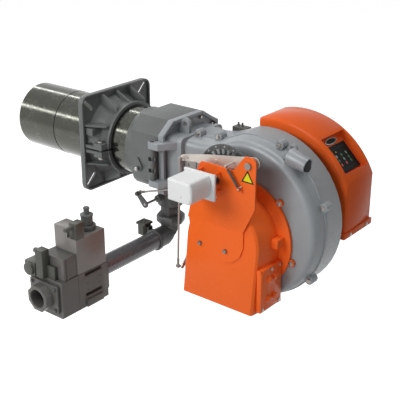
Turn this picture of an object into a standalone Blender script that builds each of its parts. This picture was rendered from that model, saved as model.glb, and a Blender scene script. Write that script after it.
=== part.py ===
"""Gas burner with a clamped boiler flange, a hinged fan side, a linked air damper and a gas train.

Lengths are in metres. The origin is on the blast tube's axis, in the boiler side face of the
mounting flange. +X runs back to the fan, +Y to the control console and +Z up.
"""
import math

import bmesh
import bpy
from mathutils import Matrix, Vector

# Shared clearances and facet counts
SEAT_GAP = 0.0003
CUT_OVERRUN = 0.002
RUNNING_GAP = 0.0008
SIDES_LARGE = 40
SIDES_MEDIUM = 20
SIDES_SMALL = 10
SMOOTH_ANGLE = math.radians(40)

# Mounting flange
FLANGE_SIDE = 0.320
FLANGE_CORNER = 0.027
FLANGE_PLATE = 0.010
FLANGE_RIM_DEPTH = 0.018
FLANGE_RIM_WIDTH = 0.006
HUB_LENGTH = 0.090
HUB_FOOT_THICKNESS = 0.0267
HUB_WAIST_THICKNESS = 0.0082
HUB_RIM_THICKNESS = 0.0122
HUB_RIM_LENGTH = 0.010
FLANGE_RIB = 0.006
FLANGE_RIB_SPACING = 0.064
BOLT_SLOT_WIDTH = 0.013
BOLT_SLOT_LENGTH = 0.046
BOLT_SLOT_DIAGONAL = 0.180
CLAMP_SLIT = 0.006
CLAMP_EAR_REACH = 0.030
CLAMP_EAR_HEIGHT = 0.020
CLAMP_EAR_LENGTH = 0.036
CLAMP_EAR_SETBACK = 0.006
CLAMP_BOLT_RADIUS = 0.005
CLAMP_BOLT_HEAD = 0.0085
CLAMP_BOLT_HEAD_HEIGHT = 0.007
FLANGE_BOSS_SIZE = 0.022
FLANGE_BOSS_HEIGHT = 0.046

# Blast tube and what it holds
TUBE_RADIUS = 0.1103
HUB_FOOT_RADIUS = TUBE_RADIUS + HUB_FOOT_THICKNESS
HUB_WAIST_RADIUS = TUBE_RADIUS + HUB_WAIST_THICKNESS
HUB_RIM_RADIUS = TUBE_RADIUS + HUB_RIM_THICKNESS
TUBE_WALL = 0.003
TUBE_FRONT = 0.353
TUBE_SEAM_PLACE = 0.178
TUBE_SEAM_WIDTH = 0.003
TUBE_SEAM_DEPTH = 0.001
FLAME_DISC_RADIUS = 0.088
FLAME_DISC_PLACE = 0.300
FLAME_DISC_THICKNESS = 0.003
FLAME_DISC_LIP = 0.010
FLAME_SLOT_COUNT = 10
FLAME_SLOT_WIDTH = 0.004
FLAME_SLOT_INNER = 0.042
FLAME_SLOT_OUTER = 0.076
GAS_TUBE_RADIUS = 0.030
GAS_TUBE_WALL = 0.003
GAS_NOZZLE_COUNT = 6
GAS_NOZZLE_RADIUS = 0.007
GAS_NOZZLE_REACH = 0.024
ELECTRODE_RADIUS = 0.0015
ELECTRODE_CERAMIC_RADIUS = 0.006
ELECTRODE_OFFSET = 0.042
ELECTRODE_LENGTH = 0.180
ELECTRODE_TIP = 0.030

# Burner head
HEAD_FRONT = 0.180
HEAD_LENGTH = 0.120
HEAD_TOP = 0.120
HEAD_TOP_HALF = 0.073
HEAD_HALF_WIDTH = 0.117
HEAD_SHOULDER = 0.078
HEAD_KNEE = 0.063
HEAD_BOTTOM = 0.113
HEAD_BOTTOM_HALF = 0.050
HEAD_WALL = 0.008
HEAD_EDGE = 0.006
HINGE_X = 0.290
HINGE_Y = -0.138
HINGE_PIN_RADIUS = 0.005
HINGE_BARREL_RADIUS = 0.0125
HINGE_BARREL_TOP = 0.0455
HINGE_BARREL_BOTTOM = 0.0545
HINGE_LUG_HEIGHT = 0.0205
HINGE_WINDOW = 0.013
HINGE_WINDOW_SPACING = 0.037
HINGE_WEB = 0.012
QUADRANT_X = 0.216
QUADRANT_Z = -0.030
QUADRANT_SIZE = 0.046
QUADRANT_THICKNESS = 0.004
QUADRANT_BOLT_RADIUS = 0.0065
QUADRANT_BOLT_HEIGHT = 0.010

# Hinged door between head and fan
DOOR_PLATE = 0.008
DOOR_RIM_DEPTH = 0.012
DOOR_RIM_WIDTH = 0.009
DUCT_HALF_WIDTH = 0.098
DUCT_TOP = 0.078
DUCT_BOTTOM = 0.098
DUCT_CORNER = 0.016
DUCT_WALL = 0.007
DUCT_END = 0.3660
DUCT_FLANGE = 0.008
DUCT_FLANGE_LIP = 0.004
HINGE_ARM_REACH = 0.058
EYE_PLATE_THICKNESS = 0.012
EYE_PLATE_HEIGHT = 0.046
EYE_PLATE_LENGTH = 0.030
EYE_HOLE_RADIUS = 0.007
EYE_PLATE_Y = -0.030
DOOR_BOLT_HALF_SPACING = 0.072
DOOR_BOLT_Z = 0.098

# Fan housing: a scroll round the impeller with its neck at the top
SCROLL_X = 0.598
SCROLL_Z = -0.125
SCROLL_RADIUS = 0.2475
SCROLL_CLOSE_SHARE = 0.20
NECK_RISE_SHARES = ((0.33, 0.16), (0.66, 0.55))
TONGUE_NOSE_SHARES = ((0.10, 0.45), (0.45, 0.10))
SCROLL_FRONT = 0.085
SCROLL_BACK = 0.055
SEAM_Y = -0.028
SEAM_BEAD = 0.003
SEAM_BEAD_WIDTH = 0.0045
SCROLL_FILLET = 0.022
SCROLL_DRAFT = 0.004
SCROLL_WALL = 0.005
NECK_TOP = 0.080
NECK_BOTTOM = 0.088
NECK_RISE_START = 0.435
NECK_FRONT_HALF = 0.092
NECK_TAPER = 0.085
FAN_X = 0.597
FAN_Z = -0.163
INLET_RADIUS = 0.100
SEAM_LUG_RADIUS = 0.014
SEAM_LUG_DEPTH = 0.014
SEAM_BOLT_HEAD = 0.0060
SEAM_BOLT_HEAD_HEIGHT = 0.006
SEAM_LUG_ANGLES = (70.0, 20.0, -36.0, -74.0, 121.0)
SEAM_LUG_PROUD = 0.0065
LIFT_EYE_ANGLE = 62.5
LIFT_EYE_REACH = 0.016
LIFT_EYE_HOLE = 0.0055
SIGHT_TUBE_RADIUS = 0.0225
SIGHT_TUBE_BORE = 0.0185
SIGHT_TUBE_Y = -0.0525
SIGHT_TUBE_Z = 0.080
SIGHT_TUBE_END = 0.787
SIGHT_GLASS_THICKNESS = 0.003
SIGHT_GLASS_RECESS = 0.006

# Impeller, shaft and motor
IMPELLER_RADIUS = 0.160
IMPELLER_BORE = 0.106
IMPELLER_WIDTH = 0.090
IMPELLER_PLATE = 0.003
IMPELLER_BLADES = 20
IMPELLER_BLADE = 0.0022
IMPELLER_HUB = 0.026
IMPELLER_BACK_GAP = 0.008
SHAFT_RADIUS = 0.012
MOTOR_RADIUS = 0.082
MOTOR_FIN = 0.007
MOTOR_FIN_COUNT = 28
MOTOR_LENGTH = 0.175
MOTOR_FLANGE_RADIUS = 0.100
MOTOR_FLANGE = 0.012
MOTOR_COWL_LENGTH = 0.040
MOTOR_COWL_WALL = 0.003
MOTOR_BOX_LENGTH = 0.090
MOTOR_BOX_WIDTH = 0.080
MOTOR_BOX_HEIGHT = 0.040

# Air intake hood and damper
HOOD_X = 0.597
HOOD_Z = -0.164
HOOD_RADIUS = 0.128
HOOD_BACK_RADIUS = 0.133
HOOD_BOTTOM = -0.345
HOOD_BOTTOM_HALF = 0.1275
HOOD_BACK_BOTTOM_HALF = 0.141
HOOD_FRONT = 0.215
HOOD_LEAN_SHARE = 0.124
HOOD_EDGE = 0.006
HOOD_WALL = 0.004
HOOD_RING_RADIUS = 0.173
HOOD_RING_THICKNESS = 0.009
HOOD_EAR_RADIUS = 0.011
HOOD_EAR_PLACE = 0.181
HOOD_EAR_ANGLES = (45.0, -14.5, 135.0, 194.5)
HOOD_BOLT_RADIUS = 0.0072
HOOD_BOLT_HEIGHT = 0.0055
HOOD_BLOCK_LENGTH = 0.044
HOOD_BLOCK_DEPTH = 0.018
HOOD_BLOCK_HEIGHT = 0.026
HOOD_BLOCK_Z = -0.146
SIDE_PLATE_THICKNESS = 0.003
SIDE_PLATE_WIDTH = 0.100
SIDE_PLATE_HEIGHT = 0.132
SIDE_PLATE_BOSS = 0.0095
SIDE_PLATE_BOSS_HEIGHT = 0.012
SIDE_PLATE_BOSS_GAP_Y = 0.028
SIDE_PLATE_BOSS_GAP_Z = 0.060
DAMPER_Y = -0.150
DAMPER_Z = -0.268
DAMPER_SHAFT_RADIUS = 0.005
DAMPER_HALF_WIDTH = 0.046
DAMPER_THICKNESS = 0.003
DAMPER_END_GAP = 0.006
DAMPER_ARM = 0.036
DAMPER_ARM_THICKNESS = 0.004
DAMPER_ARM_X = 0.441
DAMPER_ARM_ANGLE = 40.0

# Sheet bracket on the hood, with servo, cam and follower
BRACKET_Y = -0.190
BRACKET_SHEET = 0.004
BRACKET_LEFT = 0.474
BRACKET_RIGHT = 0.711
BRACKET_FOLD_Z = -0.108
BRACKET_TOP = 0.074
BRACKET_PEAK = 0.121
BRACKET_TONGUE_BOTTOM = -0.213
BRACKET_TONGUE_RIGHT = 0.676
BRACKET_BOLT_Z = -0.177
BRACKET_BOLT_LEFT = 0.525
BRACKET_BOLT_RIGHT = 0.617
BRACKET_SHAFT_HOLE = 0.012
SERVO_X = 0.577
SERVO_Z = 0.030
SERVO_FRONT = 0.332
SERVO_BODY_DEPTH = 0.086
SERVO_LEFT = 0.516
SERVO_RIGHT = 0.602
SERVO_BOTTOM = 0.000
SERVO_TOP = 0.062
SERVO_BULGE = 0.012
SERVO_EDGE = 0.004
SERVO_PLATE_LEFT = 0.505
SERVO_PLATE_RIGHT = 0.613
SERVO_PLATE_BOTTOM = -0.011
SERVO_PLATE_TOP = 0.067
SERVO_PLATE_DEPTH = 0.007
SERVO_BASE_DEPTH = 0.008
SERVO_BASE_INSET = 0.004
STANDOFF_RADIUS = 0.004
STANDOFF_HALF_X = 0.030
STANDOFF_HALF_Z = 0.026
SERVO_SHAFT_RADIUS = 0.007
CRANK_THICKNESS = 0.004
CRANK_HUB_RADIUS = 0.012
CRANK_ARM_WIDTH = 0.012
CRANK_Y = -0.183
CAM_RADIUS = 0.092
CAM_FACE_Y = -0.150
CAM_THICKNESS = 0.006
CAM_RIM_WIDTH = 0.020
CAM_HUB_RADIUS = 0.018
CAM_STRIP = 0.0012
CAM_STRIP_WIDTH = 0.012
CAM_STRIP_START = 15.0
CAM_STRIP_END = 125.0
CAM_SCREW_RADIUS = 0.003
CAM_SCREW_COUNT = 9
FOLLOWER_X = 0.687
FOLLOWER_Z = 0.096
FOLLOWER_END_X = 0.437
FOLLOWER_END_Z = 0.0575
FOLLOWER_Y = -0.166
FOLLOWER_SHEET = 0.004
FOLLOWER_END_HALF = 0.0095
FOLLOWER_DEEP_HALF = 0.020
FOLLOWER_PIVOT_RADIUS = 0.006
FOLLOWER_PIVOT_HEAD = 0.011
FOLLOWER_PIVOT_HEAD_HEIGHT = 0.007
ROLLER_RADIUS = 0.009
ROLLER_WIDTH = 0.008
ROLLER_PIN_RADIUS = 0.003
BALL_RADIUS = 0.0065
EYE_HALF = 0.0055
SOCKET_LENGTH = 0.024
SOCKET_RADIUS = 0.0042
ROD_RADIUS = 0.003
AIR_ROD_Y = -0.182
AIR_ROD_FOOT_X = 0.4255
AIR_ROD_FOOT_Z = -0.2911
SPRING_RADIUS = 0.0040
SPRING_HOOK = 0.0015
SPRING_FOOT_X = 0.664
SPRING_FOOT_Z = 0.026
SPRING_HEAD_X = 0.620
SPRING_HEAD_Z = 0.082
SPRING_Y = -0.203
SPRING_PIN_RADIUS = 0.003
SPRING_HOOK_SHARE = 0.01
SPRING_COIL_SHARE = 0.10

# Gas riser, throttle and its lever
RISER_X = 0.242
THROTTLE_FLANGE_HALF = 0.044
THROTTLE_FLANGE = 0.014
THROTTLE_RADIUS = 0.042
THROTTLE_LENGTH = 0.064
THROTTLE_HEX = 0.034
THROTTLE_HEX_LENGTH = 0.036
GAS_BORE = 0.026
THROTTLE_Z = -0.156
THROTTLE_BOSS_RADIUS = 0.012
THROTTLE_BOSS_END = 0.066
THROTTLE_SHAFT_RADIUS = 0.004
THROTTLE_LEVER_Y = 0.121
THROTTLE_LEVER = 0.004
THROTTLE_LEVER_WIDTH = 0.012
THROTTLE_BLADE = 0.002
NUT_RADIUS = 0.047
NUT_HEIGHT = 0.028
PIPE_RADIUS = 0.0300
PIPE_Z = -0.295
ELBOW_RADIUS = 0.0325
ELBOW_COLLAR = 0.036
ELBOW_COLLAR_LENGTH = 0.010
ELBOW_BEND = 0.034
ELBOW_TOP_COLLAR = 0.0045
ELBOW_END = 0.085

# Gas valve train
OUTLET_NECK = 0.016
OUTLET_PLATE = 0.014
OCTAGON_HALF = 0.038
PORT_PLATE_HALF_X = 0.056
PORT_PLATE_HALF_Z = 0.044
VALVE_START = 0.366
VALVE_LENGTH = 0.182
VALVE_HALF_WIDTH = 0.066
VALVE_TOP = -0.240
VALVE_BOTTOM = -0.356
VALVE_EDGE = 0.004
VALVE_SLOT_LENGTH = 0.066
VALVE_SLOT_HEIGHT = 0.011
VALVE_SLOT_DEPTH = 0.012
VALVE_SLOT_SPACING = 0.066
VALVE_SLOT_Y = -0.424
VALVE_FOOT_HEIGHT = 0.022
VALVE_FOOT_PROUD = 0.006
INLET_NECK = 0.026
INLET_PLATE = 0.010
PORT_SCREW_RADIUS = 0.006
TALL_LEFT = 0.220
TALL_FRONT = 0.4845
TALL_BACK = 0.371
TALL_TOP = -0.131
TALL_CAP_RIGHT = 0.272
TALL_CAP_BACK = 0.436
TALL_CAP_TOP = -0.101
COIL_LEFT = 0.219
COIL_RIGHT = 0.306
COIL_FRONT = 0.536
COIL_TOP = -0.1725
COIL_RIB = 0.003
COIL_RIB_COUNT = 3
COIL_RIB_SHARE = 0.6
PLUG_WIDTH = 0.028
PLUG_DEPTH = 0.028
PLUG_TOP = -0.152
PLUG_X = 0.237
PLUG_STEP = 0.030
GLAND_RADIUS = 0.009
GLAND_LENGTH = 0.016
VALVE_SWITCH_SIZE = 0.042
VALVE_SWITCH_DEPTH = 0.036
VALVE_DIAL_RADIUS = 0.0185
VALVE_DIAL_DEPTH = 0.008
TOP_PLUG_WIDTH = 0.026
TOP_PLUG_DEPTH = 0.034
TOP_PLUG_TOP = -0.082
TOP_PLUG_X = 0.2945
TOP_GLAND_RADIUS = 0.0075
TOP_GLAND_LENGTH = 0.022
REGULATOR_X = 0.276
REGULATOR_Y = -0.399
REGULATOR_BASE_RADIUS = 0.029
REGULATOR_BASE_HEIGHT = 0.014
REGULATOR_CAP_RADIUS = 0.025
REGULATOR_CAP_HEIGHT = 0.032
REGULATOR_KNOB_RADIUS = 0.012
REGULATOR_KNOB_HEIGHT = 0.022
ELBOW_SWITCH_WIDTH = 0.050
ELBOW_SWITCH_DEPTH = 0.040
ELBOW_SWITCH_HEIGHT = 0.040
ELBOW_SWITCH_X = 0.178
ELBOW_SWITCH_Y = -0.072
ELBOW_SWITCH_Z = -0.270
ELBOW_SWITCH_NIPPLE = 0.008

# Control console behind the fan
COVER_RADIUS = 0.269
COVER_FRONT = 0.080
COVER_BACK = 0.240
COVER_LEFT = 0.526
COVER_RIGHT = 0.842
COVER_FOOT = -0.160
COVER_WALL = 0.0025
COVER_EDGE = 0.012
COVER_INNER_RADIUS = 0.196
CONSOLE_FOOT_BOTTOM = -0.178
CONSOLE_LIP = 0.003
CONSOLE_SHEET = 0.003
CONSOLE_ARM_WIDTH = 0.040
RECESS_FRONT = 0.095
RECESS_BACK = 0.222
RECESS_LENGTH = 0.124
RECESS_ANGLE = 45.5
RECESS_FLOOR = 0.2435
DISPLAY_FRONT = 0.104
DISPLAY_BACK = 0.213
DISPLAY_LENGTH = 0.090
DISPLAY_THICKNESS = 0.003
DISPLAY_SHIFT = 0.010
KEY_LENGTH = 0.011
KEY_WIDTH = 0.008
KEY_HEIGHT = 0.0012
KEY_PITCH_Y = 0.027
KEY_PITCH = 0.0142
KEY_DROP = 0.0054
COVER_SCREW_RADIUS = 0.0045

# Air pressure switch behind the neck
AIR_SWITCH_X = 0.470
AIR_SWITCH_Y = 0.074
AIR_SWITCH_LENGTH = 0.050
AIR_SWITCH_DEPTH = 0.030
AIR_SWITCH_TOP = 0.098
AIR_SWITCH_HEIGHT = 0.060
AIR_SPOUT_RADIUS = 0.0035
AIR_SPOUT_HEIGHT = 0.012

# Further driving sizes
WELD = 0.00001
JOIN_DEPTH = 0.001
SHANK_SHARE = 0.55
HEAD_TAPER_SHARE = 0.88
BOLT_SINK_SHARE = 0.8
BRACKET_SINK_SHARE = 0.5
PORT_HOLE_SHARE = 0.7
SEAM_SINK_SHARE = 0.6
CLAMP_Z = -0.010
TUBE_REAR = 0.172
GAS_TUBE_BEND = 0.045
HEAD_FLOOR = -0.105
HEAD_COLLAR_FRONT = 0.153
HEAD_COLLAR_THICKNESS = 0.0062
HEAD_COLLAR_RADIUS = TUBE_RADIUS + HEAD_COLLAR_THICKNESS
HINGE_WINDOW_Z = -0.0045
CLOSE_Z = 0.062
CLOSE_LUG_HALF = 0.011
CLOSE_LUG_DEPTH = 0.016
CLOSE_EDGE = 0.150
LINK_STEP = 0.030
PORT_BORE = 0.028
VALVE_SLOT_LIFT = 0.016
DOOR_LEFT = 0.121
DOOR_RIGHT = 0.150
DOOR_BOTTOM = 0.104
DOOR_WING_Z = 0.074
DOOR_KNEE = 0.117
DOOR_KNEE_Z = 0.092
DOOR_SHOULDER_Z = 0.084
NECK_START = 0.3663
NECK_TONGUE = 0.030
NECK_MOUTH_SHARE = 0.15
NECK_LUG_X = 0.389
SCROLL_JOIN_ANGLE = 100.0
SCROLL_CLOSE_SWEEP = 82.0
SIGHT_TUBE_REACH = 0.060
SIGHT_TUBE_TILT = 12.0
MOTOR_HOLE_RADIUS = 0.060
IMPELLER_BLADE_ANGLE = 28.0
MOTOR_COWL_SLOTS = 10
SIDE_PLATE_PROUD = 0.015
SIDE_PLATE_X = HOOD_X + HOOD_BOTTOM_HALF + SIDE_PLATE_PROUD
SIDE_PLATE_FRONT = 0.196
SIDE_PLATE_LOW = -0.338
BRACKET_FOLD_RIGHT = 0.672
BRACKET_NOTCH_X = 0.636
BRACKET_CREST_X = 0.523
COUPLING_RADIUS = 0.012
ROLLER_SIDE = 0.019
ROLLER_Z = 0.075
SPRING_PIN_LIFT = 0.0035
CAM_WEB_RADIUS = 0.0610
CAM_SECTOR_START = 48.0
CAM_SECTOR_END = 150.0
CAM_SLOT_COUNT = 7
CAM_STRIP_LOW = 0.0365
CAM_STRIP_HIGH = 0.0605
STRIP_X = 0.378
STRIP_LENGTH = 0.042
STRIP_Z = -0.012
STRIP_HEIGHT = 0.036
STRIP_SHEET = 0.003
CONSOLE_ARM_ANGLES = (20.0, 88.0)
CONSOLE_ARM_DEPTH = 0.008

# Joint axis of every body
PIVOTS = {
    "flange": (0.0, 0.0, 0.0),
    "head": (0.0, 0.0, 0.0),
    "swing": (HINGE_X, HINGE_Y, 0.0),
    "servo": (SERVO_X, CRANK_Y, SERVO_Z),
    "throttle": (RISER_X, 0.0, THROTTLE_Z),
    "gas_rod": (SERVO_X - LINK_STEP, CRANK_Y, SERVO_Z - LINK_STEP),
    "follower": (FOLLOWER_X, FOLLOWER_Y, FOLLOWER_Z),
    "air_rod": (FOLLOWER_END_X, AIR_ROD_Y, FOLLOWER_END_Z),
    "damper": (DAMPER_ARM_X, DAMPER_Y, DAMPER_Z),
    "fan": (FAN_X, 0.0, FAN_Z),
}

# Colour, metallic and roughness of the finishes
FINISHES = {
    "grey_casting": ((0.10, 0.112, 0.112), 0.25, 0.50),
    "light_casting": ((0.27, 0.30, 0.32), 0.35, 0.42),
    "black_casting": ((0.045, 0.048, 0.047), 0.2, 0.55),
    "galvanised": ((0.32, 0.32, 0.29), 0.95, 0.32),
    "bright_steel": ((0.55, 0.54, 0.52), 1.0, 0.28),
    "warm_steel": ((0.50, 0.46, 0.42), 0.9, 0.35),
    "dark_steel": ((0.09, 0.095, 0.095), 0.8, 0.40),
    "ceramic": ((0.78, 0.76, 0.70), 0.0, 0.40),
    "grey_pipe": ((0.105, 0.11, 0.115), 0.55, 0.38),
    "valve_metal": ((0.075, 0.07, 0.066), 0.3, 0.48),
    "valve_brown": ((0.085, 0.06, 0.052), 0.2, 0.45),
    "black_plastic": ((0.035, 0.036, 0.035), 0.0, 0.48),
    "white_plastic": ((0.80, 0.80, 0.79), 0.0, 0.38),
    "orange_paint": ((0.83, 0.13, 0.018), 0.0, 0.34),
    "motor_grey": ((0.16, 0.17, 0.18), 0.3, 0.50),
    "dark_glass": ((0.012, 0.014, 0.014), 0.0, 0.10),
    "black_gloss": ((0.015, 0.015, 0.016), 0.0, 0.18),
    "key_green": ((0.05, 0.25, 0.09), 0.0, 0.35),
}


def clear_scene():
    """Remove whatever the scene holds"""
    for item in list(bpy.data.objects):
        bpy.data.objects.remove(item)


def solid(vertices, faces):
    """A closed mesh object with its faces turned outward"""
    mesh = bpy.data.meshes.new("solid")
    mesh.from_pydata(vertices, [], faces)
    shell = bmesh.new()
    shell.from_mesh(mesh)
    bmesh.ops.recalc_face_normals(shell, faces=shell.faces)
    shell.to_mesh(mesh)
    shell.free()
    item = bpy.data.objects.new("solid", mesh)
    bpy.context.scene.collection.objects.link(item)
    return item


def spot(axis, along, across, up):
    """A point given along an axis and in the plane across it"""
    if axis == "X":
        return (along, across, up)
    if axis == "Y":
        return (across, along, up)
    return (across, up, along)


def loft(rings, wrapped=False):
    """A solid through rings of equal point counts, capped at both ends or wrapped round"""
    count = len(rings[0])
    vertices = [point for ring in rings for point in ring]
    faces = []
    for step in range(len(rings) if wrapped else len(rings) - 1):
        low = step * count
        high = ((step + 1) % len(rings)) * count
        for place in range(count):
            after = (place + 1) % count
            faces.append((low + place, low + after, high + after, high + place))
    if not wrapped:
        faces.append(tuple(reversed(range(count))))
        faces.append(tuple(range(len(vertices) - count, len(vertices))))
    return solid(vertices, faces)


def prism(axis, outline, start, end):
    """A straight solid over an outline"""
    rings = [[spot(axis, along, across, up) for across, up in outline] for along in (start, end)]
    return loft(rings)


def box(x_range, y_range, z_range):
    """A rectangular block"""
    outline = [(x_range[0], y_range[0]), (x_range[1], y_range[0]), (x_range[1], y_range[1]),
               (x_range[0], y_range[1])]
    return prism("Z", outline, z_range[0], z_range[1])


def arc(centre, radius, first, last, steps):
    """Points along an arc, both ends included, with its angles in degrees"""
    points = []
    for step in range(steps + 1):
        angle = math.radians(first + (last - first) * step / steps)
        points.append((centre[0] + radius * math.cos(angle), centre[1] + radius * math.sin(angle)))
    return points


def circle(centre, radius, sides):
    """A closed round outline"""
    return arc(centre, radius, 0, 360, sides)[:-1]


def rounded(low, high, radius, steps=4):
    """A rectangle outline between two corners, with round corners"""
    middle = ((low[0] + radius, low[1] + radius), (high[0] - radius, high[1] - radius))
    points = arc(middle[1], radius, 0, 90, steps)
    points += arc((middle[0][0], middle[1][1]), radius, 90, 180, steps)
    points += arc(middle[0], radius, 180, 270, steps)
    points += arc((middle[1][0], middle[0][1]), radius, 270, 360, steps)
    return points


def turned(axis, centre, profile, sides=SIDES_MEDIUM, hollow=False):
    """A round solid; the profile lists places along the axis with their radii"""
    rings = []
    for along, radius in profile:
        rings.append([spot(axis, along, across, up) for across, up in circle(centre, radius, sides)])
    return loft(rings, hollow)


def hull_pair(axis, first, first_radius, second, second_radius, start, end, sides=SIDES_MEDIUM):
    """A straight link with round ends about two centres"""
    run = (second[0] - first[0], second[1] - first[1])
    heading = math.degrees(math.atan2(run[1], run[0]))
    lean = math.degrees(math.asin((first_radius - second_radius) / math.hypot(run[0], run[1])))
    outline = arc(second, second_radius, heading - 90 + lean, heading + 90 - lean, sides // 2)
    outline += arc(first, first_radius, heading + 90 - lean, heading + 270 + lean, sides // 2)
    return prism(axis, outline, start, end)


def rod(start, end, radius, sides=SIDES_SMALL):
    """A round bar between two points in space"""
    base = Vector(start)
    run = Vector(end) - base
    turn = run.to_track_quat("Z", "Y")
    rings = []
    for share in (0.0, 1.0):
        ring = [base + run * share + turn @ Vector((across, up, 0.0)) for across,
                up in circle((0, 0), radius, sides)]
        rings.append([tuple(point) for point in ring])
    return loft(rings)


def ball(centre, radius, axis="Z", sides=SIDES_SMALL):
    """A sphere with flat poles"""
    rings = 6
    profile = []
    for step in range(rings + 1):
        angle = math.radians(-75 + 150 * step / rings)
        profile.append((radius * math.sin(angle), radius * math.cos(angle)))
    item = turned(axis, (0.0, 0.0), profile, sides)
    item.data.transform(Matrix.Translation(Vector(centre)))
    return item


def turn(item, angle, axis, centre=(0.0, 0.0, 0.0)):
    """Turn a solid about an axis through a point, in degrees"""
    away = Matrix.Translation(Vector(centre))
    item.data.transform(away @ Matrix.Rotation(math.radians(angle), 4, axis) @ away.inverted())
    return item


def move(item, shift):
    """Shift a solid"""
    item.data.transform(Matrix.Translation(Vector(shift)))
    return item


def gathered(items):
    """One object holding several separate solids"""
    bunch = bmesh.new()
    for item in items:
        bunch.from_mesh(item.data)
    mesh = bpy.data.meshes.new("solid")
    bunch.to_mesh(mesh)
    bunch.free()
    for item in items[1:]:
        bpy.data.objects.remove(item)
    items[0].data = mesh
    return items[0]


def worked(base, tools, operation):
    """Apply a Boolean with each tool in turn and remove the tools"""
    for tool in tools:
        modifier = base.modifiers.new("Shape", "BOOLEAN")
        modifier.operation = operation
        modifier.solver = "EXACT"
        modifier.object = tool
    bpy.context.view_layer.update()
    graph = bpy.context.evaluated_depsgraph_get()
    result = bpy.data.meshes.new_from_object(base.evaluated_get(graph))
    base.modifiers.clear()
    shell = bmesh.new()
    shell.from_mesh(result)
    bmesh.ops.remove_doubles(shell, verts=shell.verts, dist=WELD)
    bmesh.ops.dissolve_degenerate(shell, edges=shell.edges, dist=WELD)
    shell.to_mesh(result)
    shell.free()
    base.data = result
    for tool in tools:
        bpy.data.objects.remove(tool)
    return base


def union(base, *tools):
    """Join solids into one body"""
    return worked(base, tools, "UNION")


def cut(base, *tools):
    """Take solids away from a body"""
    return worked(base, tools, "DIFFERENCE")


def common(base, *tools):
    """Keep only what a body shares with a solid"""
    return worked(base, tools, "INTERSECT")


def screw_holes(axis, places, seat, way, radius, sink, sides=6):
    """Cutter for the holes of screws that sit on a seat; way is the heads' side of it"""
    reach = radius * SHANK_SHARE + SEAT_GAP
    depth = seat - way * (sink + SEAT_GAP)
    start = seat + way * CUT_OVERRUN
    return gathered([turned(axis, place, [(depth, reach), (start, reach)], sides) for place in places])


def bolts(name, axis, places, seat, way, radius, height, sink):
    """Hexagon bolts standing on a seat, one solid each, numbered from 1"""
    shank = radius * SHANK_SHARE
    under = seat + way * SEAT_GAP
    profile = [(under - way * sink, shank), (under, shank), (under, radius)]
    profile.append((under + way * height, radius * HEAD_TAPER_SHARE))
    for number, place in enumerate(places, 1):
        finished(turned(axis, place, profile, 6), f"{name}_{number}", "bright_steel", "swing")


def finished(item, name, finish, body):
    """Name a solid, give it its own finish and hang it on the axis of its body"""
    axis = bodies[body]
    item.name = name
    item.data.name = name
    item.data.transform(Matrix.Translation(-Vector(PIVOTS[body])))
    colour, metal, rough = FINISHES[finish]
    material = bpy.data.materials.new(name + "_finish")
    material.use_nodes = True
    shader = material.node_tree.nodes["Principled BSDF"]
    shader.inputs["Base Color"].default_value = (*colour, 1.0)
    shader.inputs["Metallic"].default_value = metal
    shader.inputs["Roughness"].default_value = rough
    item.data.materials.clear()
    item.data.materials.append(material)
    item.data.shade_smooth()
    item.data.set_sharp_from_angle(angle=SMOOTH_ANGLE)
    item.parent = axis
    return item


def make_axes():
    """One empty on the joint axis of every body"""
    made = {}
    for body, place in PIVOTS.items():
        axis = bpy.data.objects.new(body + "_axis", None)
        bpy.context.scene.collection.objects.link(axis)
        axis.location = place
        made[body] = axis
    return made


def flange_rib(offset, angle):
    """A web from the plate's edge to the hub's rim"""
    edge = 0.5 * FLANGE_SIDE - FLANGE_RIM_WIDTH
    root = FLANGE_PLATE - JOIN_DEPTH
    tip = HUB_LENGTH - HUB_RIM_LENGTH
    outline = [(root, TUBE_RADIUS * 0.5), (tip, TUBE_RADIUS * 0.5), (tip, HUB_WAIST_RADIUS), (root, edge)]
    web = prism("Y", outline, offset - 0.5 * FLANGE_RIB, offset + 0.5 * FLANGE_RIB)
    return turn(web, angle, "X")


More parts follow.
